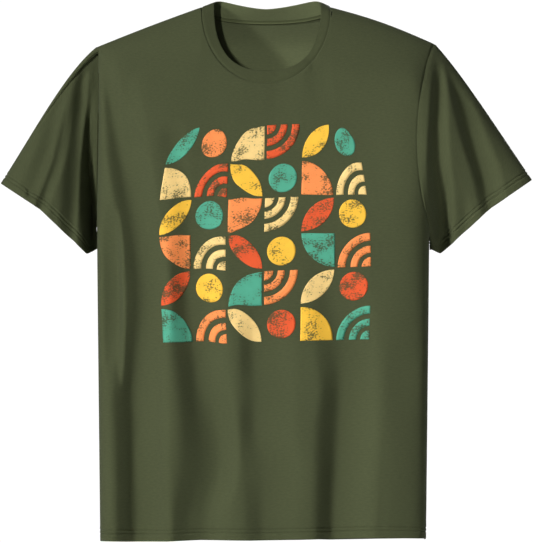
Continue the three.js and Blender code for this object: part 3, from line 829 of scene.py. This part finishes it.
def collar_net():
    on_neck = np.isin(PANEL_COLUMNS, NECK_COLUMNS_FINE)
    front_seam = front_net[-1, on_neck][:-1]
    back_seam = back_net[-1, on_neck][::-1][:-1]
    seam = np.concatenate([front_seam, back_seam])
    in_front = np.arange(len(seam)) < len(front_seam)
    out = np.clip(np.abs(seam[:, 0]) / NECK_HALF, 0, 1)
    middle = 1 - out * out
    low = (1 - out**COLLAR_ROUNDING) ** (1 / COLLAR_ROUNDING)
    front_top = COLLAR_SIDE_TOP + (COLLAR_FRONT_TOP - COLLAR_SIDE_TOP) * low
    peak = COLLAR_BACK_PEAK * out**COLLAR_PEAK_POWER
    back_top = COLLAR_BACK_TOP + peak - COLLAR_BACK_EASE * out**COLLAR_EASE_POWER
    top_half = np.where(seam[:, 0] < 0, COLLAR_TOP_RIGHT, COLLAR_TOP_LEFT)
    top = np.stack([
        seam[:, 0] * top_half / NECK_HALF,
        seam[:, 1] + np.where(in_front, COLLAR_FRONT_LEAN, -COLLAR_BACK_LEAN) * middle,
        np.where(in_front, front_top, back_top),
    ], axis=1)
    return seam + (top - seam) * COLLAR_SHARES[:, None, None]


def fold_collar(net):
    """The band's outer face, its fold and its inner face, as one net."""
    out = outward(net, True, False)
    outer = net - out * seam_dip(net, True, ("start",))[..., None]
    up = outer[-1] - outer[-2]
    up = up / np.linalg.norm(up, axis=1, keepdims=True)
    fold = []
    for angle in BEND_ANGLES:
        turn = math.radians(angle)
        sink = RIB / 2 * (1 - math.cos(turn))
        fold.append(outer[-1] - out[-1] * sink + up * (RIB / 2 * math.sin(turn)))
    inner = (net - out * RIB)[::-1]
    down = net[0] - net[1]
    flap = inner[-1] + down / np.linalg.norm(down, axis=1, keepdims=True) * COLLAR_FLAP
    return np.concatenate([outer, np.array(fold), inner, flap[None]])


collar = cloth_from_net("rib_collar", fold_collar(collar_net()), True, False)
print("collar", len(collar.data.polygons), "faces")

# %% [markdown]
# The tape is a narrow woven strip, sewn over the neck seam inside the back with a row of stitches
# along each edge. It starts as the cloth's own lines just below the seam, moved to the inner side,
# and its upper edge runs on a little way past the seam.

# %% Neck tape
TAPE = 0.0007
TAPE_GAP = 0.0003
TAPE_LIFT = 0.0009  # how far the lower edge stands off the cloth
TAPE_LIFT_START = 0.0036
TAPE_LIFT_REACH = 0.0026
TAPE_LINES = np.array([
    0.0062, 0.0057, 0.0051, 0.0045, 0.0036, 0.0027, 0.0019, 0.0013, 0.0006, 0.0
])  # their distances below the seam
TAPE_STITCHES = (0.0013, 0.0051)
TAPE_GROOVE = 0.0002
TAPE_GROOVE_REACH = 0.0009
TAPE_TURN = 0.0012  # the upper edge runs on past the seam, inside the collar


def lines_below(net, heights):
    """A net's lines at these distances below its last row, measured along the cloth."""
    below = from_end(distance_along(net, 0), 0)[::-1]
    upside = net[::-1]
    columns = range(net.shape[1])
    return np.array([
        [[np.interp(height, below[:, i], upside[:, i, axis]) for axis in range(3)] for i in columns]
        for height in heights
    ])


neck_part = back_net[:, np.isin(PANEL_COLUMNS, NECK_COLUMNS_FINE)][:, 2:-2]
tape_lines = lines_below(neck_part, TAPE_LINES)
last_step = tape_lines[-1] - tape_lines[-2]
last_step *= TAPE_TURN / np.linalg.norm(last_step, axis=1, keepdims=True)
tape_lines = np.concatenate([tape_lines, tape_lines[-1:] + last_step])
from_seam = np.append(TAPE_LINES, -TAPE_TURN)
from_stitches = [np.abs(from_seam - place) for place in TAPE_STITCHES]
groove = sum(dip(away, TAPE_GROOVE, TAPE_GROOVE_REACH) for away in from_stitches)
lift = TAPE_LIFT * smooth((from_seam - TAPE_LIFT_START) / TAPE_LIFT_REACH)
inward = (JERSEY + TAPE_GAP + TAPE + lift - groove)[:, None, None]
tape_face = tape_lines - outward(tape_lines, False, True) * inward
tape_strip = cloth_from_net("tape_strip", tape_face, False, False)
thicken(tape_strip, TAPE)
print("tape", len(tape_strip.data.polygons), "faces")

# %% [markdown]
# ## The print
# A screen print is a film of ink a few hundredths of a millimetre thick, which moves with the cloth.
# Here it is a design of quarter circles, rings, leaves and dots in a grid of small tiles. Each shape
# is drawn on the flat cloth first. Then every point of it is looked up on the folded panel, so the
# print bends with the folds. It is lifted a hair's breadth and made 0.2 mm thick, more than the real
# film, so that the cloth can't show through.

# %% Shapes of the print
TILE = 0.048
TILE_PITCH = 0.051
TILES = 6
PRINT_PLACE = (-0.003, -0.318)  # across and height of the middle of the print
INK_LIFT = 0.00042
INK = 0.00022
SHAPE_STEP = 0.0026
SHAPE_REACH = 0.047
DOT_REACH = 0.020
CORE_REACH = 0.013  # of the quarter disc inside the rings
INNER_RING = (0.019, 0.029)
OUTER_RING = (0.036, 0.047)


def square_steps(reach):
    count = max(round(reach / SHAPE_STEP * FINE), 4)
    return np.meshgrid(np.linspace(0, 1, count + 1), np.linspace(0, 1, count + 1))


def quarter_disc(reach):
    s, t = square_steps(reach)
    return np.stack([s * np.sqrt(1 - t * t / 2), t * np.sqrt(1 - s * s / 2)], axis=2) * reach


def quarter_ring(inner, outer):
    count = max(round(outer * math.pi / 2 / SHAPE_STEP * FINE), 6)
    turns = np.linspace(0, math.pi / 2, count)
    reaches = np.linspace(inner, outer, max(round((outer - inner) / SHAPE_STEP * FINE), 3))
    reach, turn = np.meshgrid(reaches, turns)
    return np.stack([reach * np.cos(turn), reach * np.sin(turn)], axis=2)


def leaf(reach):
    s, t = square_steps(reach)
    turn = t * math.pi / 2
    far = np.stack([np.cos(turn), np.sin(turn)], axis=2)
    near = np.stack([1 - np.sin(turn), 1 - np.cos(turn)], axis=2)
    return (far * s[..., None] + near * (1 - s[..., None])) * reach


def dot(reach):
    s, t = square_steps(2 * reach)
    s, t = 2 * s - 1, 2 * t - 1
    round_net = np.stack([s * np.sqrt(1 - t * t / 2), t * np.sqrt(1 - s * s / 2)], axis=2)
    return TILE / 2 + round_net * reach


TILE_SHAPES = [
    [quarter_disc(SHAPE_REACH)],
    [quarter_disc(CORE_REACH), quarter_ring(*INNER_RING), quarter_ring(*OUTER_RING)],
    [leaf(SHAPE_REACH)],
    [dot(DOT_REACH)],
]


def turned_shape(shape, quarters):
    """A shape turned about the middle of its tile by quarter turns."""
    centred = shape - TILE / 2
    for _ in range(quarters):
        centred = np.stack([-centred[..., 1], centred[..., 0]], axis=2)
    return centred + TILE / 2


# %% Finding places on the folded cloth
front_flat = flat_map(front_cloth, False)
front_facts = np.concatenate([front_cloth, outward(front_cloth, False, False)], axis=2)


def on_front(places):
    """Points on the front panel, and directions out of it, at places on the flat cloth."""
    heights = []
    found = []
    for flat_row, facts_row in zip(front_flat, front_facts):
        heights.append(np.interp(places[:, 0], flat_row[:, 0], flat_row[:, 1]))
        found.append([np.interp(places[:, 0], flat_row[:, 0], fact) for fact in facts_row.T])
    heights = np.array(heights)
    found = np.array(found)
    facts = np.array([
        [np.interp(height, heights[:, i], found[:, k, i]) for k in range(6)]
        for i, height in enumerate(places[:, 1])
    ])
    return facts[:, :3], facts[:, 3:]


def print_origin():
    """The place on the flat cloth of the middle of the print."""
    away = np.hypot(front_cloth[..., 0] - PRINT_PLACE[0], front_cloth[..., 2] - PRINT_PLACE[1])
    return front_flat[np.unravel_index(np.argmin(away), away.shape)]


# %% Laying the print
INK_NAMES = ["teal", "brick", "orange", "yellow", "cream"]
ink_pieces = []
origin = print_origin()
for i in range(TILES):
    for j in range(TILES):
        corner = origin + (np.array([i, j]) - TILES / 2) * TILE_PITCH + (TILE_PITCH - TILE) / 2
        for shape in TILE_SHAPES[(i + 2 * j) % 4]:
            flat = turned_shape(shape, (i * i + 3 * j + i * j) % 4) + corner
            points, out = on_front(flat.reshape(-1, 2))
            net = (points + out * INK_LIFT).reshape(*flat.shape[:2], 3)
            piece = cloth_from_net("ink_shape", net, False, False, flat)
            piece["ink"] = INK_NAMES[(2 * i + j) % len(INK_NAMES)]
            ink_pieces.append(piece)
print("shapes of ink:", len(ink_pieces), "middle at", origin.round(3))

# %% [markdown]
# ## Stitches
# The hems are sewn with two needles at once, which leaves two rows of small stitches side by side.
# One stitch is modelled, with its ends bent down into the cloth, and copied along every row.

# %% One stitch
STITCH_PITCH = 0.0031
STITCH_LENGTH = 0.0025
STITCH_WIDTH = 0.0005
STITCH_THICKNESS = 0.0004
STITCH_BEND = 0.00025
STITCH_END = 0.4  # what lies further than this share of the length from the middle bends down


def model_stitch():
    deselect_all()
    bpy.ops.mesh.primitive_uv_sphere_add(
        segments=6, ring_count=6, radius=0.5, rotation=(0, math.pi / 2, 0),
        scale=(STITCH_THICKNESS, STITCH_WIDTH, STITCH_LENGTH),
    )
    bpy.ops.object.transform_apply(location=True, rotation=True, scale=True)
    stitch = bpy.context.object
    stitch.name = "stitch"
    ends = [
        abs(vertex.co.x) > STITCH_LENGTH * STITCH_END for vertex in stitch.data.vertices
    ]
    bpy.ops.object.mode_set(mode="EDIT")
    bpy.ops.mesh.select_mode(type="VERT")
    bpy.ops.mesh.select_all(action="DESELECT")
    bpy.ops.object.mode_set(mode="OBJECT")
    stitch.data.vertices.foreach_set("select", ends)
    bpy.ops.object.mode_set(mode="EDIT")
    bpy.ops.transform.translate(value=(0, 0, -STITCH_BEND))
    bpy.ops.object.mode_set(mode="OBJECT")
    bpy.ops.object.shade_smooth()
    return stitch


stitch = model_stitch()
print("stitch:", len(stitch.data.polygons), "faces")


# %% Rows of stitches
def stitch_row(net, closed, turned, height):
    """For each stitch of a row, its point, the way the row runs and the way out."""
    out = outward(net, closed, turned)
    net = net - out * hem_relief(distance_along(net, 0), distance_along(net, 1))[..., None]
    up = distance_along(net, 0)
    facts = np.concatenate([net, out], axis=2)
    line = np.array([
        [np.interp(height, up[:, i], fact) for fact in facts[:, i].T] for i in range(net.shape[1])
    ])
    if closed:
        line = np.concatenate([line, line[:1]])
    lengths = np.linalg.norm(np.diff(line[:, :3], axis=0), axis=1)
    along = np.concatenate([[0], np.cumsum(lengths)])
    count = int(along[-1] / STITCH_PITCH)
    stations = (np.arange(count) + 0.5) * along[-1] / count
    at = np.array([np.interp(stations, along, fact) for fact in line.T]).T
    reach = STITCH_LENGTH / 3
    ahead = np.array([np.interp(stations + reach, along, place) for place in line[:, :3].T])
    behind = np.array([np.interp(stations - reach, along, place) for place in line[:, :3].T])
    return at[:, :3], (ahead - behind).T, at[:, 3:]


def copy_stitches(rows):
    """Copies of the stitch at every place, joined into one piece."""
    copies = []
    for points, ways, outs in rows:
        for point, way, out in zip(points, ways, outs):
            way = Vector(way).normalized()
            side = Vector(out).cross(way).normalized()
            turn = Matrix((way, side, way.cross(side))).transposed().to_4x4()
            copy = stitch.copy()
            copy.data = stitch.data.copy()
            bpy.context.scene.collection.objects.link(copy)
            copy.matrix_world = Matrix.Translation(Vector(point)) @ turn
            copies.append(copy)
    deselect_all()
    for copy in copies:
        copy.select_set(True)
    bpy.context.view_layer.objects.active = copies[0]
    bpy.ops.object.join()
    bpy.ops.object.transform_apply(location=True, rotation=True, scale=True)
    joined = bpy.context.object
    joined.name = "hem_stitches"
    joined.data.name = "hem_stitches"
    print("stitches:", len(copies))
    return joined


rows_of_stitches = []
for place in STITCH_HEIGHTS:
    rows_of_stitches.append(stitch_row(front_cloth, False, False, place))
    rows_of_stitches.append(stitch_row(back_cloth, False, True, place))
    rows_of_stitches.append(stitch_row(right_net[::-1], True, True, place))
    rows_of_stitches.append(stitch_row(left_net[::-1], True, False, place))
stitching = copy_stitches(rows_of_stitches)
bpy.data.objects.remove(stitch)

# %% [markdown]
# ## Finishes
# Every finish is a shader that reads the map of the flat cloth, so its pattern keeps its size and
# follows the folds. The knit, the rib, the weave, the twist of the thread and the wear of the ink are
# node groups. Each has sockets with plain names and is placed in a material with its own values.

# %% Building node groups
def effect_group(name, inputs, outputs):
    """A shader group with named sockets. An input is a name, a socket type and its value."""
    group = bpy.data.node_groups.new(name, "ShaderNodeTree")
    for socket_name, kind, value in inputs:
        socket = group.interface.new_socket(socket_name, in_out="INPUT", socket_type=kind)
        if value is not None:
            socket.default_value = value
    for socket_name, kind in outputs:
        group.interface.new_socket(socket_name, in_out="OUTPUT", socket_type=kind)
    return group, group.nodes.new("NodeGroupInput"), group.nodes.new("NodeGroupOutput")


def connect(tree, value, socket):
    """Set a socket to a number, or link another socket to it."""
    if isinstance(value, bpy.types.NodeSocket):
        tree.links.new(value, socket)
    else:
        socket.default_value = value


def reckon(tree, operation, *values):
    node = tree.nodes.new("ShaderNodeMath")
    node.operation = operation
    for index, value in enumerate(values):
        connect(tree, value, node.inputs[index])
    return node.outputs[0]


def split_map(tree, vector):
    node = tree.nodes.new("ShaderNodeSeparateXYZ")
    tree.links.new(vector, node.inputs[0])
    return node.outputs[0], node.outputs[1]


def flecks(tree, across, up, width, height, detail=2.0):
    """Noise whose flecks are about this wide and high on the flat cloth, in metres."""
    place = tree.nodes.new("ShaderNodeCombineXYZ")
    tree.links.new(reckon(tree, "DIVIDE", across, width), place.inputs[0])
    tree.links.new(reckon(tree, "DIVIDE", up, height), place.inputs[1])
    noise = tree.nodes.new("ShaderNodeTexNoise")
    noise.inputs["Scale"].default_value = 1.0
    noise.inputs["Detail"].default_value = detail
    tree.links.new(place.outputs[0], noise.inputs["Vector"])
    return noise.outputs["Fac"]


def between(tree, value, low, high):
    """0 below low, 1 above high and smooth between them."""
    node = tree.nodes.new("ShaderNodeMapRange")
    node.interpolation_type = "SMOOTHSTEP"
    connect(tree, value, node.inputs["Value"])
    connect(tree, low, node.inputs["From Min"])
    connect(tree, high, node.inputs["From Max"])
    return node.outputs["Result"]


def tinted(tree, colour, factor):
    node = tree.nodes.new("ShaderNodeVectorMath")
    node.operation = "SCALE"
    tree.links.new(colour, node.inputs[0])
    tree.links.new(factor, node.inputs["Scale"])
    return node.outputs[0]


def mixed(tree, factor, first, second):
    node = tree.nodes.new("ShaderNodeMix")
    node.data_type = "RGBA"
    connect(tree, factor, node.inputs[0])
    tree.links.new(first, node.inputs[6])
    tree.links.new(second, node.inputs[7])
    return node.outputs[2]


FINISH_OUTPUTS = [
    ("Colour", "NodeSocketColor"), ("Roughness", "NodeSocketFloat"), ("Height", "NodeSocketFloat")
]

# %% [markdown]
# Jersey is a plain knit. Its face shows columns of small Vs, the wales, and each V is one loop. The
# yarn is never quite even, so the cloth has faint flecks along its rows.

# %% Jersey
FLECK_SIZE = (0.0065, 0.0022)
FUZZ_SIZE = (0.0009, 0.0009)
DRIFT_SIZE = (0.07, 0.12)
FUZZ_SHARE = 0.5  # how strong the fuzz is, beside the flecks
DRIFT_SHARE = 0.35


def yarn_tone(tree, across, up, amount):
    """How light the yarn is at each place: flecks along the rows, fuzz and a slow drift."""
    fleck = reckon(tree, "SUBTRACT", flecks(tree, across, up, *FLECK_SIZE), 0.5)
    fuzz = reckon(tree, "SUBTRACT", flecks(tree, across, up, *FUZZ_SIZE), 0.5)
    drift = reckon(tree, "SUBTRACT", flecks(tree, across, up, *DRIFT_SIZE), 0.5)
    tone = reckon(tree, "MULTIPLY_ADD", fleck, amount, 1.0)
    tone = reckon(tree, "MULTIPLY_ADD", fuzz, reckon(tree, "MULTIPLY", amount, FUZZ_SHARE), tone)
    slow = reckon(tree, "MULTIPLY", amount, DRIFT_SHARE)
    return reckon(tree, "MULTIPLY_ADD", drift, slow, tone), fuzz


def build_knit():
    group, start, end = effect_group(
        "jersey_knit",
        [("Map", "NodeSocketVector", None), ("Colour", "NodeSocketColor", None),
         ("Wale Width", "NodeSocketFloat", 0.0009), ("Loop Height", "NodeSocketFloat", 0.0007),
         ("Unevenness", "NodeSocketFloat", 0.4), ("Relief Shade", "NodeSocketFloat", 0.2)],
        FINISH_OUTPUTS,
    )
    across, up = split_map(group, start.outputs["Map"])
    wale = reckon(group, "FRACT", reckon(group, "DIVIDE", across, start.outputs["Wale Width"]))
    aside = reckon(group, "ABSOLUTE", reckon(group, "SUBTRACT", wale, 0.5))
    from_leg = reckon(group, "MULTIPLY_ADD", aside, 4.0, -1.0)
    leg = reckon(group, "SUBTRACT", 1.0, reckon(group, "MULTIPLY", from_leg, from_leg))
    loop = reckon(group, "DIVIDE", up, start.outputs["Loop Height"])
    slant = reckon(group, "MULTIPLY_ADD", aside, 1.4, loop)
    wave = reckon(group, "SINE", reckon(group, "MULTIPLY", slant, 2 * math.pi))
    height = reckon(group, "MULTIPLY", leg, reckon(group, "MULTIPLY_ADD", wave, 0.3, 0.7))
    tone, fuzz = yarn_tone(group, across, up, start.outputs["Unevenness"])
    # Painted shade: the knit's high loops are painted lighter and its hollows darker, by Relief Shade.
    lit = reckon(group, "SUBTRACT", height, 0.5)
    tone = reckon(group, "MULTIPLY_ADD", lit, start.outputs["Relief Shade"], tone)
    colour = tinted(group, start.outputs["Colour"], tone)
    group.links.new(colour, end.inputs["Colour"])
    group.links.new(reckon(group, "MULTIPLY_ADD", fuzz, 0.2, 0.9), end.inputs["Roughness"])
    group.links.new(height, end.inputs["Height"])
    return group


knit_group = build_knit()


# %% [markdown]
# The collar is a rib: wales that stand out take turns with wales that sink back, which is what lets
# it stretch. The tape is a plain weave, and the thread is two plies twisted together.

# %% Rib, weave and thread
def build_rib():
    group, start, end = effect_group(
        "rib_knit",
        [("Map", "NodeSocketVector", None), ("Colour", "NodeSocketColor", None),
         ("Rib Pitch", "NodeSocketFloat", 0.0016), ("Loop Height", "NodeSocketFloat", 0.0008),
         ("Unevenness", "NodeSocketFloat", 0.3), ("Relief Shade", "NodeSocketFloat", 0.12)],
        FINISH_OUTPUTS,
    )
    across, up = split_map(group, start.outputs["Map"])
    turn = reckon(group, "DIVIDE", across, start.outputs["Rib Pitch"])
    rib = reckon(group, "SINE", reckon(group, "MULTIPLY", turn, 2 * math.pi))
    loop = reckon(group, "DIVIDE", up, start.outputs["Loop Height"])
    stitch_wave = reckon(group, "SINE", reckon(group, "MULTIPLY", loop, 2 * math.pi))
    height = reckon(group, "MULTIPLY_ADD", rib, 0.38, 0.5)
    height = reckon(group, "MULTIPLY_ADD", stitch_wave, 0.1, height)
    tone, fuzz = yarn_tone(group, across, up, start.outputs["Unevenness"])
    # Painted shade: the raised ribs are painted lighter and the sunk ribs darker, by Relief Shade.
    lit = reckon(group, "SUBTRACT", height, 0.5)
    tone = reckon(group, "MULTIPLY_ADD", lit, start.outputs["Relief Shade"], tone)
    group.links.new(tinted(group, start.outputs["Colour"], tone), end.inputs["Colour"])
    group.links.new(reckon(group, "MULTIPLY_ADD", fuzz, 0.2, 0.9), end.inputs["Roughness"])
    group.links.new(height, end.inputs["Height"])
    return group


def build_weave():
    group, start, end = effect_group(
        "plain_weave",
        [("Map", "NodeSocketVector", None), ("Colour", "NodeSocketColor", None),
         ("Thread Pitch", "NodeSocketFloat", 0.0007), ("Unevenness", "NodeSocketFloat", 0.3)],
        FINISH_OUTPUTS,
    )
    across, up = split_map(group, start.outputs["Map"])
    pitch = start.outputs["Thread Pitch"]
    warp = reckon(group, "MULTIPLY", reckon(group, "DIVIDE", across, pitch), math.pi)
    weft = reckon(group, "MULTIPLY", reckon(group, "DIVIDE", up, pitch), math.pi)
    warp = reckon(group, "SINE", warp)
    weft = reckon(group, "SINE", weft)
    height = reckon(group, "MULTIPLY_ADD", reckon(group, "MULTIPLY", warp, weft), 0.5, 0.5)
    tone, fuzz = yarn_tone(group, across, up, start.outputs["Unevenness"])
    # Painted shade: the raised crossings of the weave are painted lighter and the low ones darker.
    tone = reckon(group, "MULTIPLY_ADD", reckon(group, "SUBTRACT", height, 0.5), 0.2, tone)
    group.links.new(tinted(group, start.outputs["Colour"], tone), end.inputs["Colour"])
    group.links.new(reckon(group, "MULTIPLY_ADD", fuzz, 0.2, 0.88), end.inputs["Roughness"])
    group.links.new(height, end.inputs["Height"])
    return group


def build_twist():
    group, start, end = effect_group(
        "thread_twist",
        [("Map", "NodeSocketVector", None), ("Colour", "NodeSocketColor", None),
         ("Turns", "NodeSocketFloat", 4.0)],
        FINISH_OUTPUTS,
    )
    around, along = split_map(group, start.outputs["Map"])
    turn = reckon(group, "MULTIPLY_ADD", along, start.outputs["Turns"], around)
    ply = reckon(group, "SINE", reckon(group, "MULTIPLY", turn, 2 * math.pi))
    # Painted shade: the colour follows the twist, lighter on the crown of each ply and darker in the
    # groove between the plies.
    tone = reckon(group, "MULTIPLY_ADD", ply, 0.08, 1.0)
    group.links.new(tinted(group, start.outputs["Colour"], tone), end.inputs["Colour"])
    group.links.new(reckon(group, "MULTIPLY_ADD", ply, 0.04, 0.7), end.inputs["Roughness"])
    group.links.new(reckon(group, "MULTIPLY_ADD", ply, 0.5, 0.5), end.inputs["Height"])
    return group


rib_group = build_rib()
weave_group = build_weave()
twist_group = build_twist()

# %% [markdown]
# Ink that has been washed often is worn. It is thin in broad patches, and there the high loops of the
# knit have lost it and show the cloth's own green as fine specks.

# %% Worn ink
PATCH_SIZE = (0.028, 0.020)
SPECK_SIZE = (0.0030, 0.0022)
RUB_SIZE = (0.004, 0.030)


def build_ink():
    group, start, end = effect_group(
        "worn_ink",
        [("Map", "NodeSocketVector", None), ("Ink", "NodeSocketColor", None),
         ("Cloth", "NodeSocketColor", None), ("Wear", "NodeSocketFloat", 0.5)],
        FINISH_OUTPUTS,
    )
    across, up = split_map(group, start.outputs["Map"])
    patches = flecks(group, across, up, *PATCH_SIZE, 4.0)
    specks = flecks(group, across, up, *SPECK_SIZE, 3.0)
    rubbed = flecks(group, across, up, *RUB_SIZE, 3.0)
    worn = reckon(group, "MULTIPLY_ADD", patches, 0.9, reckon(group, "MULTIPLY", specks, 0.8))
    worn = reckon(group, "MULTIPLY_ADD", rubbed, 0.3, worn)
    low = reckon(group, "MULTIPLY_ADD", start.outputs["Wear"], -0.3, 1.19)
    bare = between(group, worn, low, reckon(group, "ADD", low, 0.14))
    thin = reckon(group, "MULTIPLY_ADD", patches, -0.4, 1.2)
    ink = tinted(group, start.outputs["Ink"], thin)
    bare = reckon(group, "MULTIPLY", bare, 0.85)
    group.links.new(mixed(group, bare, ink, start.outputs["Cloth"]), end.inputs["Colour"])
    group.links.new(reckon(group, "MULTIPLY_ADD", bare, 0.25, 0.62), end.inputs["Roughness"])
    group.links.new(reckon(group, "MULTIPLY_ADD", bare, -0.6, specks), end.inputs["Height"])
    return group


ink_group = build_ink()


# %% Materials
SPECULAR = 0.1
RELIEF_STRENGTH = 0.6
COTTON_SHEEN = 0.03


def finish_material(name, group, uv_map, settings, bump, sheen=0.0):
    """A Principled material whose colour, roughness and relief come from an effect group."""
    material = bpy.data.materials.new(name)
    material.use_nodes = True
    tree = material.node_tree
    shader = tree.nodes["Principled BSDF"]
    shader.inputs["Sheen Weight"].default_value = sheen
    shader.inputs["Specular IOR Level"].default_value = SPECULAR
    effect = tree.nodes.new("ShaderNodeGroup")
    effect.node_tree = group
    place = tree.nodes.new("ShaderNodeUVMap")
    place.uv_map = uv_map
    tree.links.new(place.outputs["UV"], effect.inputs["Map"])
    for socket_name, value in settings.items():
        is_colour = isinstance(value, tuple)
        effect.inputs[socket_name].default_value = (*value, 1) if is_colour else value
    relief = tree.nodes.new("ShaderNodeBump")
    relief.inputs["Strength"].default_value = RELIEF_STRENGTH
    relief.inputs["Distance"].default_value = bump
    tree.links.new(effect.outputs["Colour"], shader.inputs["Base Color"])
    tree.links.new(effect.outputs["Roughness"], shader.inputs["Roughness"])
    tree.links.new(effect.outputs["Height"], relief.inputs["Height"])
    tree.links.new(relief.outputs["Normal"], shader.inputs["Normal"])
    return material


OLIVE = (0.064, 0.074, 0.0346)
RIB_OLIVE = (0.057, 0.066, 0.0305)
TAPE_OLIVE = (0.056, 0.065, 0.029)
THREAD_OLIVE = (0.066, 0.076, 0.036)
jersey = finish_material(
    "olive_jersey", knit_group, "cut", {"Colour": OLIVE}, 0.00012, COTTON_SHEEN
)
rib = finish_material("olive_rib", rib_group, "cut", {"Colour": RIB_OLIVE}, 0.0002, COTTON_SHEEN)
tape = finish_material("olive_tape", weave_group, "cut", {"Colour": TAPE_OLIVE}, 0.0001)
thread = finish_material("olive_thread", twist_group, "UVMap", {"Colour": THREAD_OLIVE}, 0.00005)
INK_COLOURS = {
    "teal": (0.080, 0.356, 0.235), "brick": (0.70, 0.097, 0.030), "orange": (0.885, 0.27, 0.08),
    "yellow": (0.885, 0.51, 0.054), "cream": (0.846, 0.60, 0.232),
}
INK_WEAR = {"teal": 0.55, "brick": 0.7, "orange": 0.6, "yellow": 0.45, "cream": 0.5}
inks = {}
for name, colour in INK_COLOURS.items():
    settings = {"Ink": colour, "Cloth": OLIVE, "Wear": INK_WEAR[name]}
    inks[name] = finish_material("ink_" + name, ink_group, "cut", settings, 0.00006)
print("materials:", sorted(material.name for material in bpy.data.materials if material.use_nodes))

# %% [markdown]
# ## Joining and riding
# The shapes of ink become one piece with a material for each colour, and get their thickness. Every
# piece rides on the shirt's one body, and the model's parts that the cloth stands for are hidden. The
# greatest width, length and area of each panel, each sleeve and the collar are printed, in round
# figures.

# %% Finishing the pieces
for piece in ink_pieces:
    piece.data.materials.append(inks[piece["ink"]])
deselect_all()
for piece in ink_pieces:
    piece.select_set(True)
bpy.context.view_layer.objects.active = ink_pieces[0]
bpy.ops.object.join()
chest_print = bpy.context.object
chest_print.name = "chest_print"
chest_print.data.name = "chest_print"
del chest_print["ink"]
thicken(chest_print, INK)

for piece, material in (
    (front, jersey), (back, jersey), (right_sleeve, jersey), (left_sleeve, jersey),
    (collar, rib), (tape_strip, tape), (stitching, thread),
):
    piece.data.materials.clear()
    piece.data.materials.append(material)

# %% Riding on the body, and hiding the model's parts
SLOTS = {
    front: "jersey", back: "jersey", right_sleeve: "jersey", left_sleeve: "jersey",
    collar: "rib", tape_strip: "tape", stitching: "thread", chest_print: "print_ink",
}
for piece, slot in SLOTS.items():
    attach(piece, "root")
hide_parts("front_panel", "front_hem")
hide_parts("back_panel", "back_hem")
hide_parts("right_sleeve", "right_cuff_hem")
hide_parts("left_sleeve", "left_cuff_hem")
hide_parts("collar")
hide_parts("neck_tape")


# %% Cut sizes
def net_facts(name, net, closed):
    """Print the greatest width and length of a net, and its area, as it lies on the flat cloth."""
    if closed:
        net = np.concatenate([net, net[:, :1]], axis=1)
    width = distance_along(net, 1)[:, -1].max()
    length = distance_along(net, 0)[-1].max()
    first = net[1:, 1:] - net[:-1, :-1]
    second = net[1:, :-1] - net[:-1, 1:]
    area = np.linalg.norm(np.cross(first, second), axis=2).sum() / 2
    print(name, "width", round(width, 3), "length", round(length, 3), "area", round(area, 3))


net_facts("front", front_net, False)
net_facts("back", back_net, False)
net_facts("right sleeve", right_net, True)
net_facts("left sleeve", left_net, True)
net_facts("collar", collar_net(), True)
